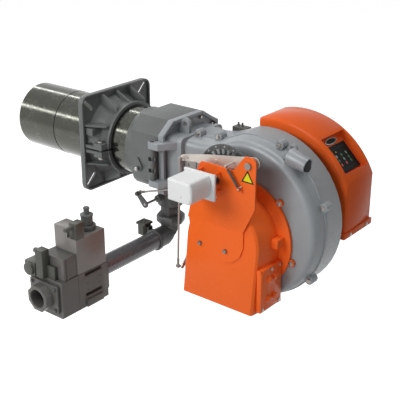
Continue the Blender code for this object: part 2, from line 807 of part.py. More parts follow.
def mounting_flange():
    """Square boiler flange with a split hub that clamps the blast tube"""
    half = 0.5 * FLANGE_SIDE
    inner = half - FLANGE_RIM_WIDTH
    body = prism("X", rounded((-half, -half), (half, half), FLANGE_CORNER), 0.0, FLANGE_RIM_DEPTH)
    tray = rounded((-inner, -inner), (inner, inner), FLANGE_CORNER - FLANGE_RIM_WIDTH)
    body = cut(body, prism("X", tray, FLANGE_PLATE, FLANGE_RIM_DEPTH + CUT_OVERRUN))
    waist = 0.5 * HUB_LENGTH
    hub = [(FLANGE_PLATE - JOIN_DEPTH, HUB_FOOT_RADIUS), (waist, HUB_WAIST_RADIUS)]
    hub += [(HUB_LENGTH - HUB_RIM_LENGTH, HUB_WAIST_RADIUS), (HUB_LENGTH - HUB_RIM_LENGTH, HUB_RIM_RADIUS)]
    hub += [(HUB_LENGTH, HUB_RIM_RADIUS)]
    body = union(body, turned("X", (0.0, 0.0), hub, SIDES_LARGE))
    for angle in (0, 180, 270):
        for offset in (-FLANGE_RIB_SPACING, 0.0, FLANGE_RIB_SPACING):
            body = union(body, flange_rib(offset, angle))
    for offset in (-FLANGE_RIB_SPACING, FLANGE_RIB_SPACING):
        body = union(body, flange_rib(offset, 90))
    ear_end = HUB_LENGTH - CLAMP_EAR_SETBACK
    outer = -(HUB_WAIST_RADIUS + CLAMP_EAR_REACH)
    ear_low = CLAMP_Z - 0.5 * CLAMP_SLIT - CLAMP_EAR_HEIGHT
    ear_high = CLAMP_Z + 0.5 * CLAMP_SLIT + CLAMP_EAR_HEIGHT
    ears = box((ear_end - CLAMP_EAR_LENGTH, ear_end), (outer, -TUBE_RADIUS), (ear_low, ear_high))
    gusset = [(FLANGE_PLATE - JOIN_DEPTH, -inner), (ear_end - JOIN_DEPTH, outer + JOIN_DEPTH)]
    gusset += [(ear_end - JOIN_DEPTH, -TUBE_RADIUS), (FLANGE_PLATE - JOIN_DEPTH, -TUBE_RADIUS)]
    body = union(body, ears, prism("Z", gusset, ear_low + CLAMP_EAR_HEIGHT * 0.5,
                                   ear_high - CLAMP_EAR_HEIGHT * 0.5))
    boss_low = ear_high + FLANGE_BOSS_SIZE
    boss = box((FLANGE_PLATE - JOIN_DEPTH, FLANGE_BOSS_HEIGHT), (-inner + FLANGE_RIM_WIDTH, -TUBE_RADIUS),
               (boss_low, boss_low + FLANGE_BOSS_SIZE))
    body = union(body, boss)
    bore = turned("X", (0.0, 0.0), [(-CUT_OVERRUN, TUBE_RADIUS + SEAT_GAP),
                                    (HUB_LENGTH + CUT_OVERRUN, TUBE_RADIUS + SEAT_GAP)],
                  SIDES_LARGE)
    slit = box((FLANGE_RIM_DEPTH, HUB_LENGTH + CUT_OVERRUN), (-half, -0.5 * TUBE_RADIUS),
               (CLAMP_Z - 0.5 * CLAMP_SLIT, CLAMP_Z + 0.5 * CLAMP_SLIT))
    bolt_hole = turned("Z", (clamp_bolt_x(), clamp_bolt_y()),
                       [(ear_low - CUT_OVERRUN, CLAMP_BOLT_RADIUS + SEAT_GAP),
                        (ear_high + CUT_OVERRUN, CLAMP_BOLT_RADIUS + SEAT_GAP)],
                       SIDES_SMALL)
    slots = []
    reach = 0.5 * BOLT_SLOT_LENGTH
    for angle in (45, 135, 225, 315):
        slot = hull_pair("X", (BOLT_SLOT_DIAGONAL - reach, 0.0), 0.5 * BOLT_SLOT_WIDTH,
                         (BOLT_SLOT_DIAGONAL + reach, 0.0), 0.5 * BOLT_SLOT_WIDTH,
                         -CUT_OVERRUN, FLANGE_PLATE + CUT_OVERRUN, SIDES_SMALL)
        slots.append(turn(slot, angle, "X"))
    body = cut(body, bore, slit, bolt_hole, gathered(slots))
    return finished(body, "mounting_flange", "grey_casting", "flange")


def clamp_bolt_x():
    """Place of the clamp bolt along the hub"""
    return HUB_LENGTH - CLAMP_EAR_SETBACK - 0.5 * CLAMP_EAR_LENGTH


def clamp_bolt_y():
    """Place of the clamp bolt out from the hub"""
    return -(HUB_WAIST_RADIUS + 0.55 * CLAMP_EAR_REACH)


def clamp_bolt():
    """Bolt and nut that draw the two ears of the split hub together"""
    top = CLAMP_Z + 0.5 * CLAMP_SLIT + CLAMP_EAR_HEIGHT + SEAT_GAP
    bottom = CLAMP_Z - 0.5 * CLAMP_SLIT - CLAMP_EAR_HEIGHT - SEAT_GAP
    place = (clamp_bolt_x(), clamp_bolt_y())
    shank = turned("Z", place, [(bottom - 1.4 * CLAMP_BOLT_HEAD_HEIGHT, CLAMP_BOLT_RADIUS),
                                (top + JOIN_DEPTH, CLAMP_BOLT_RADIUS)],
                   SIDES_SMALL)
    head = turned("Z", place, [(top, CLAMP_BOLT_HEAD), (top + CLAMP_BOLT_HEAD_HEIGHT, CLAMP_BOLT_HEAD)], 6)
    nut = turned("Z", place, [(bottom - CLAMP_BOLT_HEAD_HEIGHT, CLAMP_BOLT_HEAD),
                              (bottom, CLAMP_BOLT_HEAD)], 6)
    return finished(union(shank, head, nut), "clamp_bolt", "bright_steel", "flange")


def blast_tube():
    """Steel tube that carries the flame into the boiler"""
    inner = TUBE_RADIUS - TUBE_WALL
    seam = TUBE_RADIUS - TUBE_SEAM_DEPTH
    profile = [(-TUBE_FRONT, TUBE_RADIUS), (-TUBE_SEAM_PLACE - TUBE_SEAM_WIDTH, TUBE_RADIUS)]
    profile += [(-TUBE_SEAM_PLACE - 0.5 * TUBE_SEAM_WIDTH, seam), (-TUBE_SEAM_PLACE, TUBE_RADIUS)]
    profile += [(TUBE_REAR, TUBE_RADIUS), (TUBE_REAR, inner), (-TUBE_FRONT, inner)]
    tube = turned("X", (0.0, 0.0), profile, SIDES_LARGE, True)
    return finished(tube, "blast_tube", "galvanised", "head")


def flame_disc():
    """Slotted swirl disc near the mouth of the blast tube"""
    back = -FLAME_DISC_PLACE
    profile = [(back, FLAME_DISC_RADIUS), (back - FLAME_DISC_LIP, FLAME_DISC_RADIUS)]
    profile += [(back - FLAME_DISC_LIP, FLAME_DISC_RADIUS - FLAME_DISC_THICKNESS)]
    profile += [(back - FLAME_DISC_THICKNESS, FLAME_DISC_RADIUS - FLAME_DISC_THICKNESS)]
    profile += [(back - FLAME_DISC_THICKNESS, GAS_TUBE_RADIUS + SEAT_GAP),
                (back, GAS_TUBE_RADIUS + SEAT_GAP)]
    disc = turned("X", (0.0, 0.0), profile, SIDES_LARGE, True)
    slots = []
    for number in range(FLAME_SLOT_COUNT):
        slot = box((back - FLAME_DISC_THICKNESS - CUT_OVERRUN, back + CUT_OVERRUN),
                   (-0.5 * FLAME_SLOT_WIDTH, 0.5 * FLAME_SLOT_WIDTH), (FLAME_SLOT_INNER, FLAME_SLOT_OUTER))
        slots.append(turn(slot, 360 * (number + 0.5) / FLAME_SLOT_COUNT, "X"))
    disc = cut(disc, gathered(slots))
    return finished(disc, "flame_disc", "galvanised", "head")


def gas_head():
    """Central gas tube with its elbow down to the throttle and radial nozzles at the front"""
    bend = GAS_TUBE_BEND
    centre_x = RISER_X - bend
    path = [((-FLAME_DISC_PLACE - FLAME_DISC_LIP, 0.0), 0)]
    path += [((centre_x, 0.0), 0)]
    steps = 4
    for step in range(1, steps + 1):
        angle = 90 * step / steps
        place = (centre_x + bend * math.sin(math.radians(angle)),
                 -bend + bend * math.cos(math.radians(angle)))
        path.append((place, angle))
    path.append(((RISER_X, HEAD_FLOOR + SEAT_GAP), 90))
    outer = []
    inner = []
    for (x_place, z_place), angle in path:
        lean = math.radians(angle)
        for rings, radius in ((outer, GAS_TUBE_RADIUS), (inner, GAS_TUBE_RADIUS - GAS_TUBE_WALL)):
            rings.append([(x_place + up * math.sin(lean), across, z_place + up * math.cos(lean))
                          for across, up in circle((0.0, 0.0), radius, SIDES_MEDIUM)])
    pipe = loft(outer + inner[::-1], True)
    nozzles = []
    place = -FLAME_DISC_PLACE + FLAME_DISC_LIP + GAS_NOZZLE_RADIUS
    for number in range(GAS_NOZZLE_COUNT):
        nozzle = turned("Z", (place, 0.0), [(GAS_TUBE_RADIUS - 0.5 * GAS_TUBE_WALL, GAS_NOZZLE_RADIUS),
                                            (GAS_TUBE_RADIUS + GAS_NOZZLE_REACH,
                                             GAS_NOZZLE_RADIUS)], SIDES_SMALL)
        nozzles.append(turn(nozzle, 360 * number / GAS_NOZZLE_COUNT, "X"))
    pipe = union(pipe, gathered(nozzles))
    return finished(pipe, "gas_head", "galvanised", "head")


def ignition_electrodes():
    """Two ceramic electrodes along the gas tube with bare tips"""
    items = []
    back = -FLAME_DISC_PLACE + ELECTRODE_TIP + ELECTRODE_LENGTH
    front = -FLAME_DISC_PLACE + 3 * GAS_NOZZLE_RADIUS + ELECTRODE_TIP
    for side in (-1, 1):
        place = (side * ELECTRODE_OFFSET * 0.5, ELECTRODE_OFFSET * 0.9)
        profile = [(front - ELECTRODE_TIP, ELECTRODE_RADIUS), (front, ELECTRODE_RADIUS),
                   (front, ELECTRODE_CERAMIC_RADIUS)]
        profile += [(back, ELECTRODE_CERAMIC_RADIUS), (back, ELECTRODE_RADIUS),
                    (back + ELECTRODE_TIP, ELECTRODE_RADIUS)]
        items.append(turned("X", place, profile, SIDES_SMALL))
    middle = 0.5 * (front + back)
    across = ELECTRODE_OFFSET * 0.5 + ELECTRODE_CERAMIC_RADIUS
    clamp = box((middle - ELECTRODE_CERAMIC_RADIUS, middle + ELECTRODE_CERAMIC_RADIUS), (-across, across),
                (GAS_TUBE_RADIUS + SEAT_GAP, ELECTRODE_OFFSET))
    return finished(union(gathered(items), clamp), "ignition_electrodes", "ceramic", "head")


def head_outline(inset):
    """Cross section of the burner head: chamfered shoulders over a rounded belly"""
    side = HEAD_HALF_WIDTH - inset
    belly = arc((0.0, 0.0), 1.0, 0, 90, 4)
    points = []
    for along, down in belly:
        across = HEAD_BOTTOM_HALF + (side - HEAD_BOTTOM_HALF) * along
        points.append((across, -HEAD_KNEE - (HEAD_BOTTOM - inset - HEAD_KNEE) * down))
    right = points[::-1] + [(side, HEAD_SHOULDER - 0.4 * inset),
                            (HEAD_TOP_HALF - 0.4 * inset, HEAD_TOP - inset)]
    return right + [(-across, up) for across, up in right[::-1]]


def hinge_cylinder(low, high, radius):
    """An upright round block on the hinge line"""
    return turned("Z", (HINGE_X, HINGE_Y), [(low, radius), (high, radius)], SIDES_MEDIUM)


def head_housing():
    """Cast head behind the tube: hollow, open to the fan side, with the tube's socket in front"""
    rings = []
    for along, inset in ((HEAD_FRONT, HEAD_EDGE), (HEAD_FRONT + HEAD_EDGE, 0.0),
                         (HEAD_FRONT + HEAD_LENGTH, 0.0)):
        rings.append([(along, across, up) for across, up in head_outline(inset)])
    body = loft(rings)
    collar = turned("X", (0.0, 0.0), [(HEAD_COLLAR_FRONT, HEAD_COLLAR_RADIUS),
                                      (HEAD_FRONT + HEAD_EDGE, HEAD_COLLAR_RADIUS)],
                    SIDES_LARGE)
    barrel = hinge_cylinder(-HINGE_BARREL_BOTTOM, HINGE_BARREL_TOP, HINGE_BARREL_RADIUS)
    web = box((HINGE_X - HINGE_BARREL_RADIUS, HINGE_X + 0.5 * HINGE_WEB),
              (HINGE_Y, -HEAD_HALF_WIDTH + JOIN_DEPTH),
              (-HINGE_BARREL_BOTTOM, HINGE_BARREL_TOP))
    ear_low = CLOSE_Z - CLOSE_LUG_HALF
    ear_high = CLOSE_Z + CLOSE_LUG_HALF
    ear = box((HEAD_FRONT + HEAD_LENGTH - CLOSE_LUG_DEPTH, HEAD_FRONT + HEAD_LENGTH),
              (HEAD_HALF_WIDTH - HEAD_WALL, CLOSE_EDGE),
              (ear_low, ear_high))
    body = union(body, collar, barrel, web, ear)
    floor = HEAD_FRONT + HEAD_WALL
    room = prism("X", head_outline(HEAD_WALL), floor, HEAD_FRONT + HEAD_LENGTH + CUT_OVERRUN)
    socket = turned("X", (0.0, 0.0), [(HEAD_COLLAR_FRONT - CUT_OVERRUN, TUBE_RADIUS + SEAT_GAP),
                                      (TUBE_REAR + SEAT_GAP, TUBE_RADIUS + SEAT_GAP),
                                      (TUBE_REAR + SEAT_GAP, TUBE_RADIUS - TUBE_WALL),
                                      (floor + CUT_OVERRUN, TUBE_RADIUS - TUBE_WALL)], SIDES_LARGE)
    gas_hole = turned("Z", (RISER_X, 0.0),
                      [(-HEAD_BOTTOM - CUT_OVERRUN, GAS_BORE), (HEAD_FLOOR + CUT_OVERRUN, GAS_BORE)],
                      SIDES_MEDIUM)
    pin_hole = hinge_cylinder(-HINGE_BARREL_BOTTOM - CUT_OVERRUN, HINGE_BARREL_TOP + CUT_OVERRUN,
                              HINGE_PIN_RADIUS + SEAT_GAP)
    windows = []
    for side in (-1, 1):
        middle = HINGE_WINDOW_Z + side * 0.5 * HINGE_WINDOW_SPACING
        windows.append(box((HINGE_X - 0.5 * HINGE_WINDOW, HINGE_X + HINGE_BARREL_RADIUS + CUT_OVERRUN),
                           (HINGE_Y - HINGE_BARREL_RADIUS - CUT_OVERRUN, HINGE_Y),
                           (middle - 0.5 * HINGE_WINDOW, middle + 0.5 * HINGE_WINDOW)))
    body = cut(body, room, socket, gas_hole, pin_hole, gathered(windows))
    return finished(body, "head_housing", "grey_casting", "head")


def hinge_pin():
    """Upright pin the fan side swings on"""
    low = -HINGE_BARREL_BOTTOM - HINGE_LUG_HEIGHT - 2 * RUNNING_GAP
    high = HINGE_BARREL_TOP + HINGE_LUG_HEIGHT + 2 * RUNNING_GAP
    pin = turned("Z", (HINGE_X, HINGE_Y), [(low, HINGE_PIN_RADIUS), (high, HINGE_PIN_RADIUS),
                                           (high, 1.3 * HINGE_PIN_RADIUS),
                                           (high + 0.5 * HINGE_PIN_RADIUS,
                                            1.3 * HINGE_PIN_RADIUS)], SIDES_MEDIUM)
    return finished(pin, "hinge_pin", "bright_steel", "head")


def setting_quadrant():
    """Pear-shaped plate and clamp bolt of the head setting on the head's side"""
    wall = -HEAD_HALF_WIDTH - SEAT_GAP
    half = 0.5 * QUADRANT_SIZE
    plate = hull_pair("Y", (QUADRANT_X, QUADRANT_Z - 0.3 * half), 0.62 * half,
                      (QUADRANT_X - 0.2 * half, QUADRANT_Z + 0.8 * half),
                      0.2 * half, wall - QUADRANT_THICKNESS, wall, SIDES_SMALL)
    knob = turned("Y", (QUADRANT_X, QUADRANT_Z - 0.45 * half),
                  [(wall - QUADRANT_THICKNESS - QUADRANT_BOLT_HEIGHT, QUADRANT_BOLT_RADIUS),
                                                     (wall - JOIN_DEPTH,
                                                      QUADRANT_BOLT_RADIUS)], SIDES_SMALL)
    return finished(union(plate, knob), "setting_quadrant", "grey_casting", "head")


def throttle_body():
    """Gas butterfly housing under the head, with a bearing boss on each side"""
    top = -HEAD_BOTTOM - SEAT_GAP
    bottom = top - THROTTLE_FLANGE - THROTTLE_LENGTH
    half = THROTTLE_FLANGE_HALF
    body = prism("Z", rounded((RISER_X - half, -half), (RISER_X + half, half), 0.2 * half),
                 top - THROTTLE_FLANGE, top)
    barrel = turned("Z", (RISER_X, 0.0), [(bottom, THROTTLE_RADIUS), (top - JOIN_DEPTH, THROTTLE_RADIUS)],
                    SIDES_MEDIUM)
    boss = turned("Y", (RISER_X, THROTTLE_Z),
                  [(-THROTTLE_BOSS_END, THROTTLE_BOSS_RADIUS),
                   (THROTTLE_RADIUS + 2 * JOIN_DEPTH, THROTTLE_BOSS_RADIUS)],
                  SIDES_SMALL)
    body = union(body, barrel, boss)
    bore = turned("Z", (RISER_X, 0.0), [(bottom - CUT_OVERRUN, GAS_BORE), (top + CUT_OVERRUN, GAS_BORE)],
                  SIDES_MEDIUM)
    shaft = turned("Y", (RISER_X, THROTTLE_Z),
                   [(-THROTTLE_BOSS_END - CUT_OVERRUN, THROTTLE_SHAFT_RADIUS + SEAT_GAP),
                                                (THROTTLE_RADIUS + SEAT_GAP,
                                                 THROTTLE_SHAFT_RADIUS + SEAT_GAP)], SIDES_SMALL)
    return finished(cut(body, bore, shaft), "throttle_body", "black_casting", "head")


def gas_butterfly():
    """Throttle disc and its shaft"""
    shaft = turned("Y", (RISER_X, THROTTLE_Z),
                   [(-THROTTLE_LEVER_Y - THROTTLE_LEVER - SEAT_GAP, THROTTLE_SHAFT_RADIUS),
                                                (THROTTLE_RADIUS - SEAT_GAP,
                                                 THROTTLE_SHAFT_RADIUS)], SIDES_SMALL)
    radius = GAS_BORE - RUNNING_GAP
    disc = turned("Z", (RISER_X, 0.0), [(THROTTLE_Z - 0.5 * THROTTLE_BLADE, radius),
                                        (THROTTLE_Z + 0.5 * THROTTLE_BLADE, radius)],
                  SIDES_MEDIUM)
    return finished(union(shaft, disc), "gas_butterfly", "bright_steel", "throttle")


def throttle_lever():
    """Lever on the throttle shaft with the bolt of its rod joint"""
    end = (RISER_X - LINK_STEP, THROTTLE_Z + LINK_STEP)
    front = -THROTTLE_LEVER_Y - THROTTLE_LEVER
    plate = hull_pair("Y", (RISER_X, THROTTLE_Z), THROTTLE_LEVER_WIDTH, end, 0.6 * THROTTLE_LEVER_WIDTH,
                      front, -THROTTLE_LEVER_Y,
                      SIDES_SMALL)
    knob = ball((end[0], front - 0.6 * BALL_RADIUS, end[1]), BALL_RADIUS, "Y")
    eye_face = -THROTTLE_LEVER_Y + 1.5 * BALL_RADIUS - EYE_HALF
    stud = turned("Y", end, [(-THROTTLE_LEVER_Y - JOIN_DEPTH, 0.6 * BALL_RADIUS),
                             (eye_face - SEAT_GAP, 0.6 * BALL_RADIUS)], SIDES_SMALL)
    plate = union(plate, knob, stud)
    hole = turned("Y", (RISER_X, THROTTLE_Z),
                  [(front - CUT_OVERRUN - BALL_RADIUS, THROTTLE_SHAFT_RADIUS + SEAT_GAP),
                                               (-THROTTLE_LEVER_Y + CUT_OVERRUN,
                                                THROTTLE_SHAFT_RADIUS + SEAT_GAP)], SIDES_SMALL)
    return finished(cut(plate, hole), "throttle_lever", "black_casting", "throttle")


def riser_hex():
    """Hexagonal nipple below the throttle"""
    top = -HEAD_BOTTOM - 2 * SEAT_GAP - THROTTLE_FLANGE - THROTTLE_LENGTH
    bottom = top - THROTTLE_HEX_LENGTH
    body = turned("Z", (RISER_X, 0.0), [(bottom, THROTTLE_HEX), (top, THROTTLE_HEX)], 6)
    bore = turned("Z", (RISER_X, 0.0), [(bottom - CUT_OVERRUN, GAS_BORE), (top + CUT_OVERRUN, GAS_BORE)],
                  SIDES_MEDIUM)
    return finished(cut(body, bore), "riser_hex", "black_casting", "head")


def nut_top():
    """Upper face of the union nut"""
    return -HEAD_BOTTOM - 3 * SEAT_GAP - THROTTLE_FLANGE - THROTTLE_LENGTH - THROTTLE_HEX_LENGTH


def union_nut():
    """Large octagonal nut of the pipe union"""
    top = nut_top()
    profile = [(top - NUT_HEIGHT, 0.94 * NUT_RADIUS), (top - 0.85 * NUT_HEIGHT, NUT_RADIUS),
               (top - 0.15 * NUT_HEIGHT, NUT_RADIUS)]
    profile += [(top, 0.94 * NUT_RADIUS)]
    body = turned("Z", (RISER_X, 0.0), profile, 8)
    bore = turned("Z", (RISER_X, 0.0), [(top - NUT_HEIGHT - CUT_OVERRUN, GAS_BORE),
                                        (top + CUT_OVERRUN, GAS_BORE)], SIDES_MEDIUM)
    return finished(cut(body, bore), "union_nut", "black_casting", "head")


def elbow_rings(radius, top, collar):
    """Rings of the elbow from its upper mouth to its pipe mouth"""
    bend = ELBOW_BEND
    turn_z = PIPE_Z + bend
    reach = ELBOW_COLLAR_LENGTH
    neck = top - ELBOW_TOP_COLLAR
    path = [((0.0, top), 0, collar), ((0.0, neck), 0, collar), ((0.0, neck), 0, radius)]
    steps = 4
    for step in range(steps + 1):
        angle = 90 * step / steps
        place = (-bend + bend * math.cos(math.radians(angle)),
                 turn_z - bend * math.sin(math.radians(angle)))
        path.append((place, angle, radius))
    path += [((-ELBOW_END + reach, PIPE_Z), 90, radius), ((-ELBOW_END + reach, PIPE_Z), 90, collar),
             ((-ELBOW_END, PIPE_Z), 90, collar)]
    rings = []
    for (y_place, z_place), angle, size in path:
        lean = math.radians(angle)
        rings.append([(RISER_X + across, y_place + up * math.cos(lean), z_place + up * math.sin(lean))
                      for across, up in circle((0.0, 0.0), size, SIDES_MEDIUM)])
    return rings


def gas_elbow():
    """Elbow from the riser to the gas pipe, with a collar at each mouth"""
    top = nut_top() - NUT_HEIGHT - SEAT_GAP
    outer = elbow_rings(ELBOW_RADIUS, top, ELBOW_COLLAR)
    inner = elbow_rings(GAS_BORE, top, GAS_BORE)
    keep = [0, 3, 4, 5, 6, 7, 10]
    body = loft(outer + [inner[place] for place in reversed(keep)], True)
    return finished(body, "gas_elbow", "black_casting", "head")


def gas_pipe():
    """Two-inch pipe between the elbow and the valve"""
    start = -ELBOW_END - SEAT_GAP
    end = -VALVE_START + 2 * SEAT_GAP + OUTLET_PLATE + OUTLET_NECK
    profile = [(start, PIPE_RADIUS), (end, PIPE_RADIUS), (end, GAS_BORE), (start, GAS_BORE)]
    return finished(turned("Y", (RISER_X, PIPE_Z), profile, SIDES_LARGE, True), "gas_pipe", "grey_pipe",
                    "head")


def port(name, start, way, neck, plate):
    """Octagonal threaded flange of the valve; way runs from the valve outwards"""
    inner = start + way * plate
    outer = inner + way * neck
    body = prism("Y", rounded((RISER_X - PORT_PLATE_HALF_X, PIPE_Z - PORT_PLATE_HALF_Z),
                              (RISER_X + PORT_PLATE_HALF_X,
                               PIPE_Z + PORT_PLATE_HALF_Z), 0.1 * PORT_PLATE_HALF_X, 2), start, inner)
    ring = turned("Y", (0.0, 0.0), [(inner - way * JOIN_DEPTH, OCTAGON_HALF / math.cos(math.radians(22.5))),
                                    (outer, OCTAGON_HALF / math.cos(math.radians(22.5)))], 8)
    ring = move(turn(ring, 22.5, "Y"), (RISER_X, 0.0, PIPE_Z))
    bore = turned("Y", (RISER_X, PIPE_Z), [(start - way * CUT_OVERRUN, PORT_BORE),
                                           (outer + way * CUT_OVERRUN, PORT_BORE)], SIDES_MEDIUM)
    places = []
    for side in (-1, 1):
        for level in (-1, 1):
            places.append((RISER_X + side * (PORT_PLATE_HALF_X - 1.6 * PORT_SCREW_RADIUS),
                           PIPE_Z + level * (PORT_PLATE_HALF_Z - 1.6 * PORT_SCREW_RADIUS)))
    holes = screw_holes("Y", places, inner, way, PORT_SCREW_RADIUS, plate * PORT_HOLE_SHARE)
    body = cut(union(body, ring), bore, holes)
    return finished(body, name, "valve_metal", "head")


def gas_valve_body():
    """Double gas valve block with its grip slots and foot"""
    low_x = RISER_X - VALVE_HALF_WIDTH
    high_x = RISER_X + VALVE_HALF_WIDTH
    end = VALVE_START + VALVE_LENGTH
    outline = [(low_x, VALVE_BOTTOM + VALVE_EDGE), (low_x + VALVE_EDGE, VALVE_BOTTOM),
               (high_x - VALVE_EDGE, VALVE_BOTTOM)]
    outline += [(high_x, VALVE_BOTTOM + VALVE_EDGE), (high_x, VALVE_TOP), (low_x, VALVE_TOP)]
    body = prism("Y", outline, -end, -VALVE_START)
    foot = box((low_x - VALVE_FOOT_PROUD, high_x + VALVE_FOOT_PROUD),
               (VALVE_SLOT_Y - 0.5 * VALVE_SLOT_LENGTH, VALVE_SLOT_Y + 0.5 * VALVE_SLOT_LENGTH),
               (VALVE_BOTTOM + VALVE_EDGE, VALVE_BOTTOM + VALVE_EDGE + VALVE_FOOT_HEIGHT))
    body = union(body, foot)
    cutters = []
    middle = 0.5 * (VALVE_TOP + VALVE_BOTTOM) + VALVE_SLOT_LIFT
    for side, face in ((-1, low_x), (1, high_x)):
        for level in (-1, 1):
            centre = middle + level * 0.5 * VALVE_SLOT_SPACING
            reach = sorted((face + side * CUT_OVERRUN, face - side * VALVE_SLOT_DEPTH))
            cutters.append(box(reach, (VALVE_SLOT_Y - 0.5 * VALVE_SLOT_LENGTH,
                                       VALVE_SLOT_Y + 0.5 * VALVE_SLOT_LENGTH),
                               (centre - 0.5 * VALVE_SLOT_HEIGHT, centre + 0.5 * VALVE_SLOT_HEIGHT)))
    for face, way in ((-end, -1), (-VALVE_START, 1)):
        cutters.append(turned("Y", (RISER_X, PIPE_Z),
                              [(face + way * CUT_OVERRUN, PORT_BORE), (face - way * PORT_BORE, PORT_BORE)],
                              SIDES_MEDIUM))
    body = cut(body, gathered(cutters))
    return finished(body, "gas_valve_body", "valve_metal", "head")


def tall_solenoid():
    """Tall coil block on the outlet half of the valve"""
    floor = VALVE_TOP + SEAT_GAP
    right = RISER_X + VALVE_HALF_WIDTH
    body = box((TALL_LEFT, right), (-TALL_FRONT, -TALL_BACK), (floor, TALL_TOP))
    cap = box((TALL_LEFT, TALL_CAP_RIGHT), (-TALL_FRONT, -TALL_CAP_BACK),
              (TALL_TOP - JOIN_DEPTH, TALL_CAP_TOP))
    return finished(union(body, cap), "tall_solenoid", "valve_brown", "head")


def low_solenoid():
    """Low coil block on the inlet half of the valve, ribbed on its front"""
    floor = VALVE_TOP + SEAT_GAP
    body = box((COIL_LEFT, COIL_RIGHT), (-COIL_FRONT, -TALL_FRONT - SEAT_GAP), (floor, COIL_TOP))
    ribs = []
    step = (TALL_FRONT - COIL_FRONT) / (COIL_RIB_COUNT + 1)
    for number in range(COIL_RIB_COUNT):
        place = -COIL_FRONT - step * (number + COIL_RIB_SHARE)
        ribs.append(box((COIL_RIGHT - JOIN_DEPTH, COIL_RIGHT + COIL_RIB), (place, place + COIL_RIB),
                        (floor, COIL_TOP - COIL_RIB)))
    return finished(union(body, gathered(ribs)), "low_solenoid", "valve_metal", "head")


def power_plug():
    """Square plug with its cable gland in front of the low coil"""
    front = -COIL_FRONT - SEAT_GAP
    low = VALVE_TOP + SEAT_GAP
    left = PLUG_X - 0.5 * PLUG_WIDTH
    base = box((left, left + PLUG_STEP + PLUG_WIDTH), (front - PLUG_DEPTH * 0.4, front),
               (low, low + 1.4 * PLUG_WIDTH))
    block = box((left, left + PLUG_WIDTH), (front - PLUG_DEPTH, front - JOIN_DEPTH),
                (low + JOIN_DEPTH, PLUG_TOP))
    gland = turned("X", (front - 0.5 * PLUG_DEPTH, PLUG_TOP - 1.2 * GLAND_RADIUS),
                   [(left - GLAND_LENGTH, 0.8 * GLAND_RADIUS), (left - 0.3 * GLAND_LENGTH, GLAND_RADIUS),
                                                                                (left + JOIN_DEPTH,
                                                                                 GLAND_RADIUS)], SIDES_SMALL)
    return finished(union(base, block, gland), "power_plug", "black_plastic", "head")


def valve_pressure_switch():
    """Pressure switch with a round dial on the valve's left shoulder"""
    front = -COIL_FRONT - SEAT_GAP
    half = 0.5 * VALVE_SWITCH_SIZE
    high = COIL_LEFT - SEAT_GAP
    low_z = VALVE_TOP + SEAT_GAP
    body = box((high - VALVE_SWITCH_SIZE, high),
               (front - VALVE_SWITCH_DEPTH * 0.8, -TALL_FRONT - VALVE_SWITCH_DEPTH * 0.3),
               (low_z, low_z + VALVE_SWITCH_SIZE))
    dial = turned("Y", (high - half, low_z + half),
                  [(front - VALVE_SWITCH_DEPTH * 0.8 - VALVE_DIAL_DEPTH, VALVE_DIAL_RADIUS),
                                                     (front - VALVE_SWITCH_DEPTH * 0.7,
                                                      VALVE_DIAL_RADIUS)], SIDES_MEDIUM)
    return finished(union(body, dial), "valve_pressure_switch", "black_plastic", "head")


def regulator():
    """Round adjusting head on the tall coil block"""
    floor = TALL_TOP + SEAT_GAP
    step = floor + REGULATOR_BASE_HEIGHT
    shoulder = step + REGULATOR_CAP_HEIGHT
    profile = [(floor, REGULATOR_BASE_RADIUS), (step, REGULATOR_BASE_RADIUS), (step, REGULATOR_CAP_RADIUS)]
    profile += [(shoulder - 0.2 * REGULATOR_CAP_HEIGHT, REGULATOR_CAP_RADIUS),
                (shoulder, 0.75 * REGULATOR_CAP_RADIUS)]
    body = turned("Z", (REGULATOR_X, REGULATOR_Y), profile, SIDES_MEDIUM)
    knob = shoulder - JOIN_DEPTH
    profile = [(knob, 0.6 * REGULATOR_KNOB_RADIUS),
               (knob + 0.5 * REGULATOR_KNOB_HEIGHT, 0.6 * REGULATOR_KNOB_RADIUS)]
    profile += [(knob + 0.55 * REGULATOR_KNOB_HEIGHT, REGULATOR_KNOB_RADIUS),
                (knob + 0.9 * REGULATOR_KNOB_HEIGHT, REGULATOR_KNOB_RADIUS)]
    profile += [(knob + REGULATOR_KNOB_HEIGHT, 0.7 * REGULATOR_KNOB_RADIUS)]
    top = turned("Z", (REGULATOR_X, REGULATOR_Y), profile, SIDES_SMALL)
    return finished(union(body, top), "regulator", "black_casting", "head")


def top_plug():
    """Plug with a side gland on the front right of the tall coil block"""
    low = TALL_TOP + SEAT_GAP
    half = 0.5 * TOP_PLUG_WIDTH
    front = -TALL_FRONT - 0.2 * TOP_PLUG_DEPTH
    body = box((TOP_PLUG_X - half, TOP_PLUG_X + half),
               (-TALL_FRONT + JOIN_DEPTH, -TALL_FRONT + TOP_PLUG_DEPTH), (low, TOP_PLUG_TOP))
    gland = turned("Y", (TOP_PLUG_X, TOP_PLUG_TOP - 1.5 * TOP_GLAND_RADIUS),
                   [(front - TOP_GLAND_LENGTH, 0.8 * TOP_GLAND_RADIUS), (front, TOP_GLAND_RADIUS),
                                                                          (-TALL_FRONT + 2 * JOIN_DEPTH,
                                                                           TOP_GLAND_RADIUS)], SIDES_SMALL)
    return finished(union(body, gland), "top_plug", "black_plastic", "head")


